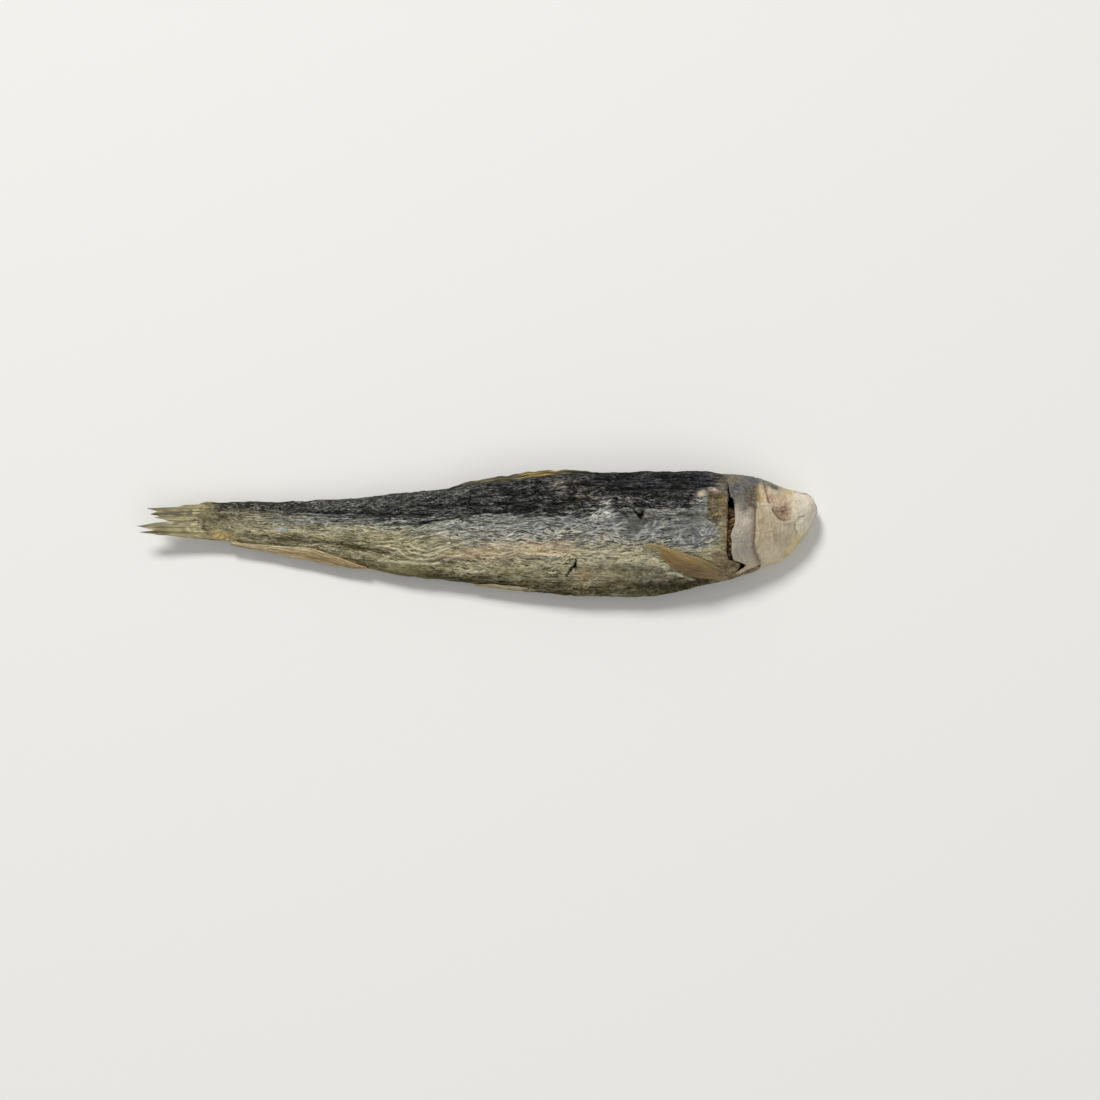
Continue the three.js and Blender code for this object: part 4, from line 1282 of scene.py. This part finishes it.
PECTORAL_TOP = [(88.9, -3.75), (89.4, -3.4), (90.4, -3.25), (92.3, -3.4), (94.1, -4.1), (95.9, -4.8),
                (98.7, -5.7), (101.2, -6.7), (103.2, -7.9)]
PECTORAL_FOOT = [(88.9, -3.95), (89.3, -4.3), (90.5, -4.6), (91.8, -5.3), (93.4, -6.7), (94.1, -7.5),
                 (95.9, -8.2), (97.6, -8.95), (99.4, -9.4), (103.2, -9.5)]


def pectoral_fin(side, name):
    def lift(p, q):
        height = 0.08 + 0.3 * np.sin(math.pi * np.minimum(1, 0.15 + p)) * smooth(0, 0.35, q)
        return height + 0.06 * np.sin(p * 17 + q * 5) - 0.35 * smooth(0.1, 0, q)

    def paint(lay, p, q, x, y):
        # Painted highlight along the fin's upper margin.
        lay(0.5 * smooth(0.35, 0.1, p), (170, 152, 104))
        lay(0.9 * smooth(92.8, 90.6, x), (182, 176, 134))
        lay(0.8 * spot(x, y, 94.8, -6.6, 1.8, 0.9, -40), (134, 94, 40))
        # Darker brown in the lower part towards the foot: partly the fin's own colour, partly painted
        # shade.
        lay(0.9 * spot(x, y, 98.2, -8.2, 3.4, 1.1, -18), (96, 70, 34))
        lay(0.85 * smooth(0.2, 0.02, q), (136, 118, 88))
        lay(0.4 * flecks(x, y, (2.5, 0.8), 57), (118, 96, 56))

    sheet = folded(PECTORAL_TOP, PECTORAL_FOOT, side, lift)
    return fin(name, sheet, lambda p, q: 8 * p + 0.2 * np.sin(6 * q), thick=0.26, rows=90, columns=70,
               size=(15, 5), base=(156, 124, 66), paint=paint, bold=0.4)


# ---------- the stage ----------
CAMERA_TILT = math.radians(78)  # above the horizon, which is square to the rolled flank
LENS = 105
SENSOR = 36
VIEW_WIDTH = 193.9  # millimetres of floor across the frame, at the fish
AIM = (72.9, -4.4, 0)  # what the middle of the frame shows, on the straight fish
FLOOR_REACH = 3  # metres from its middle to each side
FLOOR_GAP = 0.02  # millimetres between the floor and the fish
LAMP_DISTANCE = 1.5  # metres
ROOM_LIGHT = 0.29


def stage():
    floor = bpy.data.meshes.new("floor")
    corners = [(-1, -1, 0), (1, -1, 0), (1, 1, 0), (-1, 1, 0)]
    floor.from_pydata((np.array(corners) * FLOOR_REACH).tolist(), [], [(0, 1, 2, 3)])
    ground = placed("floor", floor)
    ground.location.z = CAD_BOX[0].z - FLOOR_GAP * UNIT
    paper = bpy.data.materials.new("paper")
    paper.use_nodes = True
    shader = paper.node_tree.nodes["Principled BSDF"]
    shader.inputs["Base Color"].default_value = opaque((236, 235, 231))
    shader.inputs["Roughness"].default_value = 0.85
    floor.materials.append(paper)


def look_from(thing, location, towards):
    """Puts a lamp or a camera at a location, with its back towards a direction."""
    thing.location = location
    thing.rotation_euler = towards.to_track_quat("Z", "Y").to_euler()


def light(name, direction, size, watts, colour):
    lamp = bpy.data.lights.new(name, "AREA")
    lamp.shape = "DISK"
    lamp.size = size
    lamp.energy = watts
    lamp.color = colour
    towards = Vector(direction).normalized()
    look_from(placed(name, lamp), towards * LAMP_DISTANCE, towards)


def lights():
    light("key", (-0.3, 0.65, 0.9), size=0.42, watts=15.8, colour=(1, 0.998, 0.99))
    light("fill", (0.3, -0.6, 1), size=1.2, watts=4.8, colour=(0.99, 0.99, 1))
    world = bpy.data.worlds.new("room")
    bpy.context.scene.world = world
    world.use_nodes = True
    background = world.node_tree.nodes["Background"]
    background.inputs["Color"].default_value = (1, 1, 1, 1)
    background.inputs["Strength"].default_value = ROOM_LIGHT


def camera():
    lens = bpy.data.cameras.new("camera")
    lens.lens = LENS
    lens.sensor_width = SENSOR
    lens.clip_start = 0.01
    eye_point = placed("camera", lens)
    target = Vector(lay_down(np.array([AIM]))[0])
    towards = Vector((0, -math.cos(CAMERA_TILT), math.sin(CAMERA_TILT)))
    look_from(eye_point, target + towards * (VIEW_WIDTH * UNIT * LENS / SENSOR), towards)
    bpy.context.scene.camera = eye_point
    bpy.context.scene.view_settings.view_transform = "Standard"


# ---------- everything ----------
def fish():
    pieces = [trunk(), head()]
    dried_eye = grainy_material("dried_eye", (0.5, 0.45), 0.35, 0.65, 0.82, 1.16, 0.45, 0.12, 0.5)
    pieces += [eye(1, "eye_right", dried_eye), eye(-1, "eye_left", dried_eye)]
    pieces += [gills(), tail_fin(), anal_fin(), dorsal_fin()]
    pieces += [pelvic_fin(1, "pelvic_right"), pelvic_fin(-1, "pelvic_left")]
    pieces += [pectoral_fin(1, "pectoral_right"), pectoral_fin(-1, "pectoral_left")]
    for piece in pieces:
        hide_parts("sardine")


stage()
lights()
camera()
fish()
